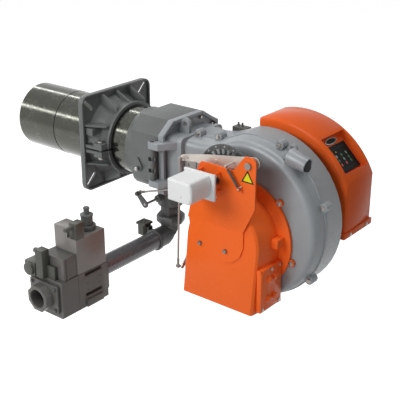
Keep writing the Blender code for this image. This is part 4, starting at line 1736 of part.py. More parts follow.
def servo_bracket():
    """Folded sheet bracket: tongue on the hood's leaning face, upright plate above the fold"""
    front = BRACKET_Y - 0.5 * BRACKET_SHEET
    back = BRACKET_Y + 0.5 * BRACKET_SHEET
    width = BRACKET_RIGHT - BRACKET_LEFT
    height = BRACKET_PEAK - BRACKET_FOLD_Z
    upper = [(BRACKET_LEFT, BRACKET_FOLD_Z), (BRACKET_FOLD_RIGHT, BRACKET_FOLD_Z),
             (BRACKET_RIGHT, BRACKET_FOLD_Z + 0.36 * height)]
    upper += [(BRACKET_RIGHT, BRACKET_PEAK - 0.07 * height)]
    upper += arc((BRACKET_RIGHT - 0.07 * width, BRACKET_PEAK - 0.07 * height), 0.07 * width, 0, 75, 4)
    upper += [(BRACKET_RIGHT - 0.15 * width, BRACKET_PEAK), (BRACKET_NOTCH_X, BRACKET_TOP - 0.01 * height)]
    upper += [(BRACKET_CREST_X + 0.1 * width, BRACKET_TOP), (BRACKET_CREST_X, BRACKET_TOP - 0.005 * height),
              (BRACKET_CREST_X - 0.04 * width, BRACKET_TOP - 0.06 * height)]
    plate = prism("Y", upper, front, back)
    tongue = [(BRACKET_LEFT, BRACKET_FOLD_Z + BRACKET_SHEET),
              (BRACKET_LEFT + 0.05 * width, BRACKET_TONGUE_BOTTOM + 0.30 * height)]
    tongue += [(BRACKET_LEFT + 0.14 * width, BRACKET_TONGUE_BOTTOM + 0.15 * height),
               (BRACKET_LEFT + 0.30 * width, BRACKET_TONGUE_BOTTOM + 0.04 * height)]
    tongue += [(BRACKET_LEFT + 0.45 * width, BRACKET_TONGUE_BOTTOM),
               (BRACKET_LEFT + 0.58 * width, BRACKET_TONGUE_BOTTOM)]
    tongue += [(BRACKET_LEFT + 0.72 * width, BRACKET_TONGUE_BOTTOM + 0.04 * height),
               (BRACKET_TONGUE_RIGHT - 0.04 * width, BRACKET_TONGUE_BOTTOM + 0.13 * height)]
    tongue += [(BRACKET_TONGUE_RIGHT, BRACKET_TONGUE_BOTTOM + 0.25 * height),
               (BRACKET_FOLD_RIGHT, BRACKET_FOLD_Z + BRACKET_SHEET)]
    seat = BRACKET_SHEET + SEAT_GAP
    rings = [[(across, hood_face(up) - SEAT_GAP - lift, up) for across, up in tongue] for lift in (0.0,
                                                                                                   BRACKET_SHEET)]
    lower = loft(rings)
    trim = box((BRACKET_LEFT - seat, BRACKET_RIGHT), (-2 * HOOD_FRONT, 0.0),
               (BRACKET_FOLD_Z + 0.5 * BRACKET_SHEET, BRACKET_FOLD_Z + 3 * BRACKET_SHEET))
    lower = cut(lower, trim)
    filler_front = min(front, hood_face(BRACKET_FOLD_Z) - seat)
    filler_back = max(back, hood_face(BRACKET_FOLD_Z))
    filler = box((BRACKET_LEFT, BRACKET_FOLD_RIGHT), (filler_front, filler_back),
                 (BRACKET_FOLD_Z - 0.2 * BRACKET_SHEET, BRACKET_FOLD_Z + BRACKET_SHEET))
    root = front + JOIN_DEPTH
    body = union(plate, lower, filler, spring_pin(root), *servo_standoffs(root))
    keep_off = hood_solid_grown()
    body = cut(body, keep_off)
    places = [(BRACKET_BOLT_LEFT, BRACKET_BOLT_Z), (BRACKET_BOLT_RIGHT, BRACKET_BOLT_Z)]
    seat_y = hood_face(BRACKET_BOLT_Z) - SEAT_GAP - BRACKET_SHEET - HOOD_LEAN_SHARE * HOOD_BOLT_RADIUS
    sink = BRACKET_SHEET * BRACKET_SINK_SHARE
    holes = screw_holes("Y", places, seat_y, -1, HOOD_BOLT_RADIUS, sink)
    bolts("bracket_bolt", "Y", places, seat_y, -1, HOOD_BOLT_RADIUS, HOOD_BOLT_HEIGHT, sink)
    shaft_hole = turned("Y", (SERVO_X, SERVO_Z),
                        [(front - CUT_OVERRUN, BRACKET_SHAFT_HOLE),
                         (back + CUT_OVERRUN, BRACKET_SHAFT_HOLE)], SIDES_MEDIUM)
    pivot_hole = turned("Y", (FOLLOWER_X, FOLLOWER_Z),
                        [(front - CUT_OVERRUN, FOLLOWER_PIVOT_RADIUS + SEAT_GAP),
                         (back + CUT_OVERRUN, FOLLOWER_PIVOT_RADIUS + SEAT_GAP)], SIDES_SMALL)
    body = cut(body, holes, shaft_hole, pivot_hole)
    return finished(body, "servo_bracket", "orange_paint", "swing")


def hood_solid_grown():
    """The hood's outer body with the seat gap added on its face"""
    item = hood_solid(0.0, -SCROLL_FRONT, HOOD_BOTTOM)
    return move(item, (0.0, -0.8 * SEAT_GAP, 0.0))


def follower_pivot():
    """Hexagon bolt the follower lever turns on, through the bracket's peak"""
    front = BRACKET_Y - 0.5 * BRACKET_SHEET - SEAT_GAP
    back = FOLLOWER_Y + 0.5 * FOLLOWER_SHEET + SEAT_GAP
    shank = turned("Y", (FOLLOWER_X, FOLLOWER_Z),
                   [(front - JOIN_DEPTH, FOLLOWER_PIVOT_RADIUS),
                    (back + JOIN_DEPTH, FOLLOWER_PIVOT_RADIUS)], SIDES_SMALL)
    head = turned("Y", (FOLLOWER_X, FOLLOWER_Z),
                  [(front - FOLLOWER_PIVOT_HEAD_HEIGHT, 0.9 * FOLLOWER_PIVOT_HEAD),
                   (front - 0.8 * FOLLOWER_PIVOT_HEAD_HEIGHT, FOLLOWER_PIVOT_HEAD),
                                                  (front, FOLLOWER_PIVOT_HEAD)], 6)
    nut = turned("Y", (FOLLOWER_X, FOLLOWER_Z),
                 [(back, FOLLOWER_PIVOT_HEAD), (back + FOLLOWER_PIVOT_HEAD_HEIGHT, FOLLOWER_PIVOT_HEAD)], 6)
    spacer_start = BRACKET_Y + 0.5 * BRACKET_SHEET + SEAT_GAP
    spacer_end = FOLLOWER_Y - 0.5 * FOLLOWER_SHEET - SEAT_GAP
    spacer = turned("Y", (FOLLOWER_X, FOLLOWER_Z),
                    [(spacer_start, 1.5 * FOLLOWER_PIVOT_RADIUS),
                     (spacer_end, 1.5 * FOLLOWER_PIVOT_RADIUS)], SIDES_SMALL)
    return finished(union(shank, head, nut, spacer), "follower_pivot", "bright_steel", "swing")


def follower_lever():
    """Steel follower bar with its cam roller, rod stud and spring pin"""
    front = FOLLOWER_Y - 0.5 * FOLLOWER_SHEET
    back = FOLLOWER_Y + 0.5 * FOLLOWER_SHEET
    run = FOLLOWER_X - FOLLOWER_END_X
    slope = (FOLLOWER_Z - FOLLOWER_END_Z) / run
    top_share = 0.75
    outline = [(FOLLOWER_X, FOLLOWER_Z + FOLLOWER_DEEP_HALF * 0.9)]
    outline += arc((FOLLOWER_X, FOLLOWER_Z), FOLLOWER_DEEP_HALF * 0.9, 80, -80, 6)
    middle = (FOLLOWER_X - 0.45 * run, FOLLOWER_Z - 0.45 * run * slope)
    outline += [(middle[0], middle[1] - FOLLOWER_DEEP_HALF),
                (middle[0] - 0.2 * run, middle[1] - 0.2 * run * slope - 0.95 * FOLLOWER_DEEP_HALF)]
    outline += [(FOLLOWER_END_X + 0.18 * run, FOLLOWER_END_Z + 0.18 * run * slope - FOLLOWER_END_HALF)]
    outline += arc((FOLLOWER_END_X, FOLLOWER_END_Z), FOLLOWER_END_HALF, 262, 100, 6)
    outline += [(middle[0] - 0.2 * run, middle[1] - 0.2 * run * slope + top_share * FOLLOWER_DEEP_HALF)]
    body = prism("Y", outline[1:], front, back)
    roller_x = SERVO_X - ROLLER_SIDE
    roller = turned("Y", (roller_x, ROLLER_Z),
                    [(back - JOIN_DEPTH, ROLLER_PIN_RADIUS), (back + SEAT_GAP, ROLLER_PIN_RADIUS),
                     (back + SEAT_GAP, ROLLER_RADIUS),
                                                (back + SEAT_GAP + ROLLER_WIDTH,
                                                 ROLLER_RADIUS)], SIDES_MEDIUM)
    roller_head = turned("Y", (roller_x, ROLLER_Z),
                         [(front - ROLLER_PIN_RADIUS, 1.6 * ROLLER_PIN_RADIUS),
                          (front + JOIN_DEPTH, 1.6 * ROLLER_PIN_RADIUS)], 6)
    stud = turned("Y", (FOLLOWER_END_X, FOLLOWER_END_Z),
                  [(AIR_ROD_Y + EYE_HALF + SEAT_GAP, 0.6 * BALL_RADIUS),
                   (front + JOIN_DEPTH, 0.6 * BALL_RADIUS)], SIDES_SMALL)
    pin = turned("Y", (SPRING_HEAD_X, SPRING_HEAD_Z + SPRING_PIN_LIFT),
                 [(SPRING_Y - 2 * SPRING_PIN_RADIUS, SPRING_PIN_RADIUS),
                  (front + JOIN_DEPTH, SPRING_PIN_RADIUS)], SIDES_SMALL)
    body = union(body, roller, roller_head, stud, pin)
    pivot_hole = turned("Y", (FOLLOWER_X, FOLLOWER_Z),
                        [(front - CUT_OVERRUN, FOLLOWER_PIVOT_RADIUS + SEAT_GAP),
                         (back + CUT_OVERRUN, FOLLOWER_PIVOT_RADIUS + SEAT_GAP)], SIDES_SMALL)
    lug_hole = turned("Y", (FOLLOWER_END_X + 2 * FOLLOWER_END_HALF,
                            FOLLOWER_END_Z + 2 * slope * FOLLOWER_END_HALF),
                      [(front - CUT_OVERRUN, ROLLER_PIN_RADIUS),
                       (back + CUT_OVERRUN, ROLLER_PIN_RADIUS)], SIDES_SMALL)
    return finished(cut(body, pivot_hole, lug_hole), "follower_lever", "warm_steel", "follower")


def spring_pin(front):
    """Fixed pin of the return spring, rooted in the bracket's face"""
    profile = [(SPRING_Y - 2 * SPRING_PIN_RADIUS, SPRING_PIN_RADIUS),
               (front - 1.2 * SPRING_PIN_RADIUS, SPRING_PIN_RADIUS)]
    profile += [(front - 1.2 * SPRING_PIN_RADIUS, 2 * SPRING_PIN_RADIUS), (front, 2 * SPRING_PIN_RADIUS)]
    return turned("Y", (SPRING_FOOT_X, SPRING_FOOT_Z - SPRING_PIN_LIFT), profile, SIDES_SMALL)


def follower_spring():
    """Return spring between the bracket's pin and the follower's pin"""
    run = Vector((SPRING_HEAD_X - SPRING_FOOT_X, 0.0, SPRING_HEAD_Z - SPRING_FOOT_Z))
    foot = Vector((SPRING_FOOT_X, SPRING_Y, SPRING_FOOT_Z))
    coil = rod(foot + run * SPRING_COIL_SHARE, foot + run * (1 - SPRING_COIL_SHARE), SPRING_RADIUS)
    hook = rod(foot + run * SPRING_HOOK_SHARE, foot + run * (1 - SPRING_HOOK_SHARE), SPRING_HOOK)
    return finished(union(coil, hook), "follower_spring", "dark_steel", "swing")


def servo_body():
    """White servo motor housing with a domed right side"""
    back = -SERVO_FRONT + SERVO_BODY_DEPTH
    rings = []
    for along, inset in ((-SERVO_FRONT, SERVO_EDGE), (-SERVO_FRONT + SERVO_EDGE, 0.0), (back, 0.0)):
        low = SERVO_BOTTOM + inset
        high = SERVO_TOP - inset
        left = SERVO_LEFT + inset
        right = SERVO_RIGHT - SERVO_BULGE - inset
        outline = [(left, low), (right, low)]
        for step in range(1, 8):
            angle = math.radians(-90 + 180 * step / 8)
            outline.append((right + SERVO_BULGE * math.cos(angle),
                            0.5 * (low + high) + 0.5 * (high - low) * math.sin(angle)))
        outline += [(right, high), (left, high)]
        rings.append([(across, along, up) for across, up in outline])
    return finished(loft(rings), "servo_body", "white_plastic", "swing")


def servo_plate():
    """Two stacked mounting plates behind the servo housing"""
    start = -SERVO_FRONT + SERVO_BODY_DEPTH + SEAT_GAP
    middle = start + SERVO_PLATE_DEPTH
    end = middle + SERVO_BASE_DEPTH
    inset = SERVO_BASE_INSET
    front = prism("Y", rounded((SERVO_PLATE_LEFT, SERVO_PLATE_BOTTOM), (SERVO_PLATE_RIGHT, SERVO_PLATE_TOP),
                               inset, 2), start, middle)
    rear = prism("Y", rounded((SERVO_PLATE_LEFT + inset, SERVO_PLATE_BOTTOM + inset),
                              (SERVO_PLATE_RIGHT - inset, SERVO_PLATE_TOP - inset), inset, 2),
                 middle - JOIN_DEPTH, end)
    hole = turned("Y", (SERVO_X, SERVO_Z),
                  [(middle + JOIN_DEPTH, COUPLING_RADIUS + RUNNING_GAP),
                   (end + CUT_OVERRUN, COUPLING_RADIUS + RUNNING_GAP)], SIDES_MEDIUM)
    return finished(cut(union(front, rear), hole), "servo_plate", "white_plastic", "swing")


def servo_standoffs(end):
    """Four distance pillars that carry the servo, rooted in the bracket's face"""
    start = -SERVO_FRONT + SERVO_BODY_DEPTH + 2 * SEAT_GAP + SERVO_PLATE_DEPTH + SERVO_BASE_DEPTH
    centre = 0.5 * (SERVO_PLATE_LEFT + SERVO_PLATE_RIGHT)
    middle = 0.5 * (SERVO_PLATE_BOTTOM + SERVO_PLATE_TOP)
    items = []
    for side in (-1, 1):
        for level in (-1, 1):
            place = (centre + side * STANDOFF_HALF_X, middle + level * STANDOFF_HALF_Z)
            items.append(turned("Y", place, [(start, STANDOFF_RADIUS), (end, STANDOFF_RADIUS)],
                                SIDES_SMALL))
    return items


def servo_shaft():
    """Servo output shaft with its coupling and the crank of the gas rod"""
    start = -SERVO_FRONT + SERVO_BODY_DEPTH + SEAT_GAP + SERVO_PLATE_DEPTH + 2 * JOIN_DEPTH
    end = CAM_FACE_Y + CAM_THICKNESS + JOIN_DEPTH
    crank_back = CRANK_Y + 0.5 * CRANK_THICKNESS
    crank_front = CRANK_Y - 0.5 * CRANK_THICKNESS
    shaft = turned("Y", (SERVO_X, SERVO_Z),
                   [(start, COUPLING_RADIUS), (BRACKET_Y - 2 * BRACKET_SHEET, COUPLING_RADIUS),
                    (BRACKET_Y - 2 * BRACKET_SHEET, SERVO_SHAFT_RADIUS),
                                             (end, SERVO_SHAFT_RADIUS)], SIDES_MEDIUM)
    place = (SERVO_X - LINK_STEP, SERVO_Z - LINK_STEP)
    crank = hull_pair("Y", (SERVO_X, SERVO_Z), CRANK_HUB_RADIUS, place, 0.5 * CRANK_ARM_WIDTH, crank_front,
                      crank_back, SIDES_SMALL)
    return finished(union(shaft, crank), "servo_shaft", "dark_steel", "servo")


def cam_radius(angle):
    """Radius of the adjustable running strip at an angle of the cam"""
    share = (CAM_STRIP_END - angle) / (CAM_STRIP_END - CAM_STRIP_START)
    return CAM_STRIP_LOW + (CAM_STRIP_HIGH - CAM_STRIP_LOW) * share


def cam_disc():
    """Cam with a slotted sector rim and a spiral running strip on its face"""
    centre = (SERVO_X, SERVO_Z)
    outline = arc(centre, CAM_RADIUS, CAM_SECTOR_START, CAM_SECTOR_END, 16)
    outline += arc(centre, CAM_WEB_RADIUS, CAM_SECTOR_END, CAM_SECTOR_START + 360, 20)
    body = prism("Y", outline, CAM_FACE_Y, CAM_FACE_Y + CAM_THICKNESS)
    strip_outer = []
    strip_inner = []
    steps = 12
    for step in range(steps + 1):
        angle = CAM_STRIP_START + (CAM_STRIP_END - CAM_STRIP_START) * step / steps
        radius = cam_radius(angle)
        strip_outer += arc(centre, radius, angle, angle, 1)[:1]
        strip_inner += arc(centre, radius - CAM_STRIP, angle, angle, 1)[:1]
    strip = prism("Y", strip_outer + strip_inner[::-1], CAM_FACE_Y - CAM_STRIP_WIDTH,
                  CAM_FACE_Y + JOIN_DEPTH)
    hub = turned("Y", centre, [(CAM_FACE_Y - 0.2 * CAM_STRIP_WIDTH, CAM_HUB_RADIUS),
                               (CAM_FACE_Y + JOIN_DEPTH, CAM_HUB_RADIUS)], SIDES_MEDIUM)
    pointer_angle = math.radians(CAM_SECTOR_START + 3)
    pointer_x = SERVO_X + (CAM_RADIUS - 0.5 * CAM_RIM_WIDTH) * math.cos(pointer_angle)
    pointer_z = SERVO_Z + (CAM_RADIUS - 0.5 * CAM_RIM_WIDTH) * math.sin(pointer_angle)
    half = 0.25 * CAM_RIM_WIDTH
    pointer = box((pointer_x - half, pointer_x + half), (CAM_FACE_Y - half, CAM_FACE_Y + JOIN_DEPTH),
                  (pointer_z - half, pointer_z + half))
    body = union(body, strip, hub, pointer)
    slots = []
    span = (CAM_SECTOR_END - CAM_SECTOR_START) / CAM_SLOT_COUNT
    inner = CAM_WEB_RADIUS + 0.1 * CAM_RIM_WIDTH
    outer = CAM_RADIUS - 0.7 * CAM_RIM_WIDTH
    for number in range(CAM_SLOT_COUNT):
        first = CAM_SECTOR_START + span * (number + 0.12)
        last = CAM_SECTOR_START + span * (number + 0.88)
        slot = arc(centre, outer, first, last, 3) + arc(centre, inner, last, first, 3)
        slots.append(prism("Y", slot, CAM_FACE_Y - 0.1 * CAM_STRIP_WIDTH,
                           CAM_FACE_Y + CAM_THICKNESS + CUT_OVERRUN))
    bore = turned("Y", centre, [(CAM_FACE_Y - CAM_STRIP_WIDTH, SERVO_SHAFT_RADIUS + SEAT_GAP),
                                (CAM_FACE_Y + CAM_THICKNESS + CUT_OVERRUN,
                                 SERVO_SHAFT_RADIUS + SEAT_GAP)], SIDES_MEDIUM)
    places = []
    for number in range(CAM_SCREW_COUNT):
        angle = CAM_SECTOR_START + (CAM_SECTOR_END - CAM_SECTOR_START) * (number + 1.2) / (CAM_SCREW_COUNT + 0.8)
        places += arc(centre, CAM_RADIUS - 0.32 * CAM_RIM_WIDTH, angle, angle, 1)[:1]
    holes = screw_holes("Y", places, CAM_FACE_Y, -1, CAM_SCREW_RADIUS, CAM_THICKNESS * PORT_HOLE_SHARE)
    body = cut(body, gathered(slots), bore, holes)
    return finished(body, "cam_disc", "dark_steel", "servo")


def rod_end(centre, axis):
    """Round eye of a rod joint, across an axis"""
    half = EYE_HALF
    profile = [(-half, 0.7 * BALL_RADIUS), (-0.5 * half, BALL_RADIUS), (0.5 * half, BALL_RADIUS),
               (half, 0.7 * BALL_RADIUS)]
    return move(turned(axis, (0.0, 0.0), profile, SIDES_SMALL), centre)


def link(name, start, end, start_axis, end_axis, body):
    """Rod with a socket and an eye at each end"""
    first = Vector(start)
    last = Vector(end)
    way = (last - first).normalized()
    parts = [rod_end(first, start_axis), rod_end(last, end_axis)]
    parts.append(rod(first + way * 0.5 * BALL_RADIUS, first + way * SOCKET_LENGTH, SOCKET_RADIUS))
    parts.append(rod(last - way * SOCKET_LENGTH, last - way * 0.5 * BALL_RADIUS, SOCKET_RADIUS))
    shaft = rod(first + way * (SOCKET_LENGTH - JOIN_DEPTH), last - way * (SOCKET_LENGTH - JOIN_DEPTH),
                ROD_RADIUS)
    return finished(union(shaft, *parts), name, "warm_steel", body)


def air_rod():
    """Rod from the follower lever down to the damper lever"""
    foot = (AIR_ROD_FOOT_X, AIR_ROD_Y, AIR_ROD_FOOT_Z)
    return link("air_rod", foot, (FOLLOWER_END_X, AIR_ROD_Y, FOLLOWER_END_Z), "X", "Y", "air_rod")


def gas_rod():
    """Rod from the servo crank to the throttle lever"""
    start = (SERVO_X - LINK_STEP, CRANK_Y + 0.5 * CRANK_THICKNESS + EYE_HALF + SEAT_GAP,
             SERVO_Z - LINK_STEP)
    end = (RISER_X - LINK_STEP, -THROTTLE_LEVER_Y + 1.5 * BALL_RADIUS, THROTTLE_Z + LINK_STEP)
    return link("gas_rod", end, start, "Y", "Y", "gas_rod")


def neck_plate():
    """Small drilled steel strip on the side of the neck"""
    place = -SCROLL_FRONT - SEAT_GAP
    body = box((STRIP_X, STRIP_X + STRIP_LENGTH), (place - STRIP_SHEET, place),
               (STRIP_Z, STRIP_Z + STRIP_HEIGHT))
    hole = turned("Y", (STRIP_X + 0.4 * STRIP_LENGTH, STRIP_Z + 0.4 * STRIP_HEIGHT),
                  [(place - 2 * STRIP_SHEET, 0.12 * STRIP_LENGTH),
                   (place + CUT_OVERRUN, 0.12 * STRIP_LENGTH)], SIDES_SMALL)
    return finished(cut(body, hole), "neck_plate", "warm_steel", "swing")


def console_outline(offset, inner):
    """Side view of the console: round back, straight rear end, open towards the fan"""
    centre = (SCROLL_X, SCROLL_Z)
    radius = COVER_RADIUS + offset
    left = COVER_LEFT - offset
    right = COVER_RIGHT + offset
    first = math.degrees(math.acos((right - SCROLL_X) / radius))
    last = math.degrees(math.acos((left - SCROLL_X) / radius))
    inner_last = math.degrees(math.acos((left - SCROLL_X) / inner))
    points = [(SCROLL_X + inner, COVER_FOOT), (right, COVER_FOOT)]
    points += arc(centre, radius, first, last, 24)
    points += arc(centre, inner, inner_last, 0, 18)
    return points


def console_box(near, far, start, end, length):
    """A block over the console's slope, between two distances from the scroll's centre"""
    outline = [(near, -0.5 * length), (far, -0.5 * length), (far, 0.5 * length), (near, 0.5 * length)]
    item = prism("Y", outline, start, end)
    turn(item, -RECESS_ANGLE, "Y")
    return move(item, (SCROLL_X, 0.0, SCROLL_Z))


def control_cover():
    """Orange console cover with rounded rims and a sunk panel on its slope"""
    rings = []
    for along, offset in ((COVER_FRONT, -COVER_EDGE), (COVER_FRONT + 0.3 * COVER_EDGE, -0.3 * COVER_EDGE),
                          (COVER_FRONT + COVER_EDGE, 0.0),
                          (COVER_BACK - COVER_EDGE, 0.0), (COVER_BACK - 0.3 * COVER_EDGE,
                                                           -0.3 * COVER_EDGE), (COVER_BACK, -COVER_EDGE)):
        rings.append([(across, along, up) for across, up in console_outline(offset, COVER_INNER_RADIUS)])
    body = loft(rings)
    wall = COVER_WALL
    inner = []
    for along, offset in ((COVER_FRONT + wall, -COVER_EDGE - wall), (COVER_FRONT + COVER_EDGE, -wall),
                          (COVER_BACK - COVER_EDGE, -wall),
                          (COVER_BACK - wall, -COVER_EDGE - wall)):
        outline = console_outline(offset, COVER_INNER_RADIUS - 2 * wall)
        outline[0] = (outline[0][0], COVER_FOOT - wall)
        outline[1] = (outline[1][0], COVER_FOOT - wall)
        inner.append([(across, along, up) for across, up in outline])
    room = loft(inner)
    tray = console_box(RECESS_FLOOR - wall, COVER_RADIUS + COVER_EDGE, RECESS_FRONT - wall,
                       RECESS_BACK + wall, RECESS_LENGTH + 2 * wall)
    room = cut(room, tray)
    recess = console_box(RECESS_FLOOR, COVER_RADIUS + COVER_EDGE, RECESS_FRONT, RECESS_BACK, RECESS_LENGTH)
    body = cut(body, room, recess)
    return finished(body, "control_cover", "orange_paint", "swing")


def panel_keys(floor):
    """Nine flat oval keys and lamps that stand out of the panel's foil"""
    outline = []
    for step in range(SIDES_SMALL):
        angle = math.tau * step / SIDES_SMALL
        outline.append((0.5 * KEY_WIDTH * math.cos(angle), 0.5 * KEY_LENGTH * math.sin(angle)))
    middle = 0.5 * (DISPLAY_FRONT + DISPLAY_BACK)
    items = []
    for column in (-1, 0, 1):
        for row in (-1, 0, 1):
            key = prism("X", outline, floor - JOIN_DEPTH, floor + KEY_HEIGHT)
            move(key, (0.0, middle + column * KEY_PITCH_Y, row * KEY_PITCH - KEY_DROP))
            turn(key, -RECESS_ANGLE, "Y")
            items.append(move(key, (SCROLL_X, 0.0, SCROLL_Z)))
    return gathered(items)


def display_panel():
    """Dark operating panel with its keys on the floor of the recess"""
    floor = RECESS_FLOOR + SEAT_GAP
    panel = console_box(floor, floor + DISPLAY_THICKNESS, DISPLAY_FRONT, DISPLAY_BACK, DISPLAY_LENGTH)
    panel = union(panel, panel_keys(floor + DISPLAY_THICKNESS))
    lean = math.radians(RECESS_ANGLE - 90)
    move(panel, (DISPLAY_SHIFT * math.cos(lean), 0.0, DISPLAY_SHIFT * math.sin(lean)))
    return finished(panel, "display_panel", "black_gloss", "swing")


def console_chassis():
    """Sheet liner that closes the console towards the fan, on two arms from the housing"""
    centre = (SCROLL_X, SCROLL_Z)
    outer = COVER_INNER_RADIUS - 3 * SEAT_GAP
    inner = outer - CONSOLE_SHEET
    last = math.degrees(math.acos((COVER_LEFT + COVER_EDGE - SCROLL_X) / outer))
    outline = arc(centre, outer, 0, last, 18) + arc(centre, inner, last, 0, 18)
    outline += [(SCROLL_X + inner, COVER_FOOT), (SCROLL_X + outer, COVER_FOOT)]
    body = prism("Y", outline, COVER_FRONT, COVER_BACK)
    arms = []
    for angle in CONSOLE_ARM_ANGLES:
        arm = box((inner - CONSOLE_ARM_DEPTH, inner + JOIN_DEPTH),
                  (SCROLL_BACK + SEAT_GAP, COVER_BACK - COVER_EDGE), (-0.5 * CONSOLE_ARM_WIDTH,
                                                                      0.5 * CONSOLE_ARM_WIDTH))
        turn(arm, -angle, "Y")
        arms.append(move(arm, (SCROLL_X, 0.0, SCROLL_Z)))
    return finished(union(body, gathered(arms)), "console_chassis", "motor_grey", "swing")


def console_base():
    """Lip that closes the console from below"""
    low = CONSOLE_FOOT_BOTTOM
    high = COVER_FOOT - SEAT_GAP
    left = SCROLL_X + COVER_INNER_RADIUS - CONSOLE_SHEET - SEAT_GAP
    body = prism("Z", rounded((left, COVER_FRONT - CONSOLE_LIP),
                              (COVER_RIGHT + CONSOLE_LIP,
                               COVER_BACK + CONSOLE_LIP), CONSOLE_LIP, 2), low, high)
    places = []
    for share in (0.2, 0.8):
        places.append((COVER_FRONT + share * (COVER_BACK - COVER_FRONT), 0.5 * (low + high)))
    holes = screw_holes("X", places, COVER_RIGHT + CONSOLE_LIP, 1, COVER_SCREW_RADIUS, 2 * CONSOLE_LIP)
    body = cut(body, holes)
    return finished(body, "console_base", "orange_paint", "swing")


def air_pressure_switch():
    """Small black pressure switch behind the neck with two hose spouts"""
    foot = SCROLL_BACK + SEAT_GAP
    half = 0.5 * AIR_SWITCH_LENGTH
    body = box((AIR_SWITCH_X - half, AIR_SWITCH_X + half),
               (AIR_SWITCH_Y - 0.5 * AIR_SWITCH_DEPTH, AIR_SWITCH_Y + 0.5 * AIR_SWITCH_DEPTH),
               (AIR_SWITCH_TOP - AIR_SWITCH_HEIGHT, AIR_SWITCH_TOP))
    base = box((AIR_SWITCH_X + 0.2 * half, AIR_SWITCH_X + half), (foot, AIR_SWITCH_Y),
               (AIR_SWITCH_TOP - AIR_SWITCH_HEIGHT, AIR_SWITCH_TOP - 0.6 * AIR_SWITCH_HEIGHT))
    spouts = []
    for share in (-0.5, 0.1):
        spouts.append(turned("Z", (AIR_SWITCH_X + share * half, AIR_SWITCH_Y),
                             [(AIR_SWITCH_TOP - JOIN_DEPTH, AIR_SPOUT_RADIUS),
                              (AIR_SWITCH_TOP + AIR_SPOUT_HEIGHT, 0.8 * AIR_SPOUT_RADIUS)], SIDES_SMALL))
    return finished(union(body, base, gathered(spouts)), "air_pressure_switch", "black_plastic", "swing")


clear_scene()
bodies = make_axes()
mounting_flange()
clamp_bolt()
blast_tube()
flame_disc()
gas_head()
ignition_electrodes()
head_housing()
hinge_pin()
setting_quadrant()
throttle_body()
gas_butterfly()
throttle_lever()
riser_hex()
union_nut()
gas_elbow()
gas_pipe()
port("outlet_flange", -VALVE_START + SEAT_GAP, 1, OUTLET_NECK, OUTLET_PLATE)
gas_valve_body()
port("inlet_flange", -VALVE_START - VALVE_LENGTH - SEAT_GAP, -1, INLET_NECK, INLET_PLATE)
tall_solenoid()
low_solenoid()
power_plug()
valve_pressure_switch()
regulator()
top_plug()
gas_pressure_switch()
hinge_door()
housing_halves()
sight_glass()
impeller()
motor_shaft()
fan_motor()
motor_cowl()
intake_hood()
intake_side_cover()
air_damper()
damper_lever()
servo_bracket()
follower_pivot()
follower_lever()
follower_spring()
servo_body()
servo_plate()
servo_shaft()
cam_disc()
air_rod()
gas_rod()
neck_plate()
control_cover()
display_panel()
console_chassis()
console_base()
air_pressure_switch()
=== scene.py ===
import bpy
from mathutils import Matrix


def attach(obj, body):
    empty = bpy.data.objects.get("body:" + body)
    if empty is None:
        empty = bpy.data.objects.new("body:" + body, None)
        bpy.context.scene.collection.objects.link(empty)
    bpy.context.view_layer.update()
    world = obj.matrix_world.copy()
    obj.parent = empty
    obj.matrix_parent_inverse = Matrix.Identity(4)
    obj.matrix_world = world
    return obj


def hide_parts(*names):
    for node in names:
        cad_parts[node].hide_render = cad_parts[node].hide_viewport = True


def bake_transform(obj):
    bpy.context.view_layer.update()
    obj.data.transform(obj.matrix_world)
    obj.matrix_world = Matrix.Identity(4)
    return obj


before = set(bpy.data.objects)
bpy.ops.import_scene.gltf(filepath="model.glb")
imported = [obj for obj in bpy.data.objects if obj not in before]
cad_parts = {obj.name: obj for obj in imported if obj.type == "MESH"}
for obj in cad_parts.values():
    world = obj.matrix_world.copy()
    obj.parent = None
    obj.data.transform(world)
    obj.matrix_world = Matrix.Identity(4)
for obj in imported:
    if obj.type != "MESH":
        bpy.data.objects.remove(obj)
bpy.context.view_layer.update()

import logging
import math
from dataclasses import dataclass
from enum import Enum
from typing import Callable, Iterable, Sequence

import bmesh
import bpy
from mathutils import Matrix, Vector

log = logging.getLogger("gas_burner")
Point = tuple[float, float, float]
Flat = tuple[float, float]
Flats = tuple[Flat, ...]
Inputs = dict[str | int, object]
Socket = bpy.types.NodeSocket
NodeTree = bpy.types.NodeTree
Thing = bpy.types.Object
Shape = bmesh.types.BMesh
MM = 0.001
ALONG_X: Point = (1.0, 0.0, 0.0)
ALONG_Y: Point = (0.0, 1.0, 0.0)
ALONG_Z: Point = (0.0, 0.0, 1.0)
SMOOTH_ANGLE = math.radians(32.0)
EDGE_ANGLE = math.radians(38.0)


# Node trees


class Wiring:
    """Small helper that adds nodes to a node tree and joins them."""

    def __init__(self, tree: NodeTree) -> None:
        """Work on the given tree."""
        self.tree = tree

    def link(self, start: Socket, end: Socket) -> None:
        """Join an output to an input."""
        self.tree.links.new(start, end)

    def node(self, kind: str, inputs: Inputs | None = None, **values: object) -> bpy.types.Node:
        """Add a node, set its properties, and link or set its inputs.

        Args:
            kind: Node type name.
            inputs: Value, socket or list of sockets by the input's name or number.
            values: Plain properties of the node.

        Returns:
            The new node.
        """
        made = self.tree.nodes.new(kind)
        for key, value in values.items():
            setattr(made, key, value)
        for key, value in (inputs or {}).items():
            for one in value if isinstance(value, list) else [value]:
                if isinstance(one, Socket):
                    self.link(one, made.inputs[key])
                else:
                    made.inputs[key].default_value = one
        return made

    def out(self, kind: str, output: str | int, inputs: Inputs | None = None, **values: object) -> Socket:
        """Add a node as node() does, and give one of its outputs."""
        return self.node(kind, inputs, **values).outputs[output]

    def calc(self, operation: str, first: object, second: object) -> Socket:
        """Result of a Math node on two sockets or numbers."""
        return self.out("ShaderNodeMath", "Value", {0: first, 1: second}, operation=operation)


# Finishes


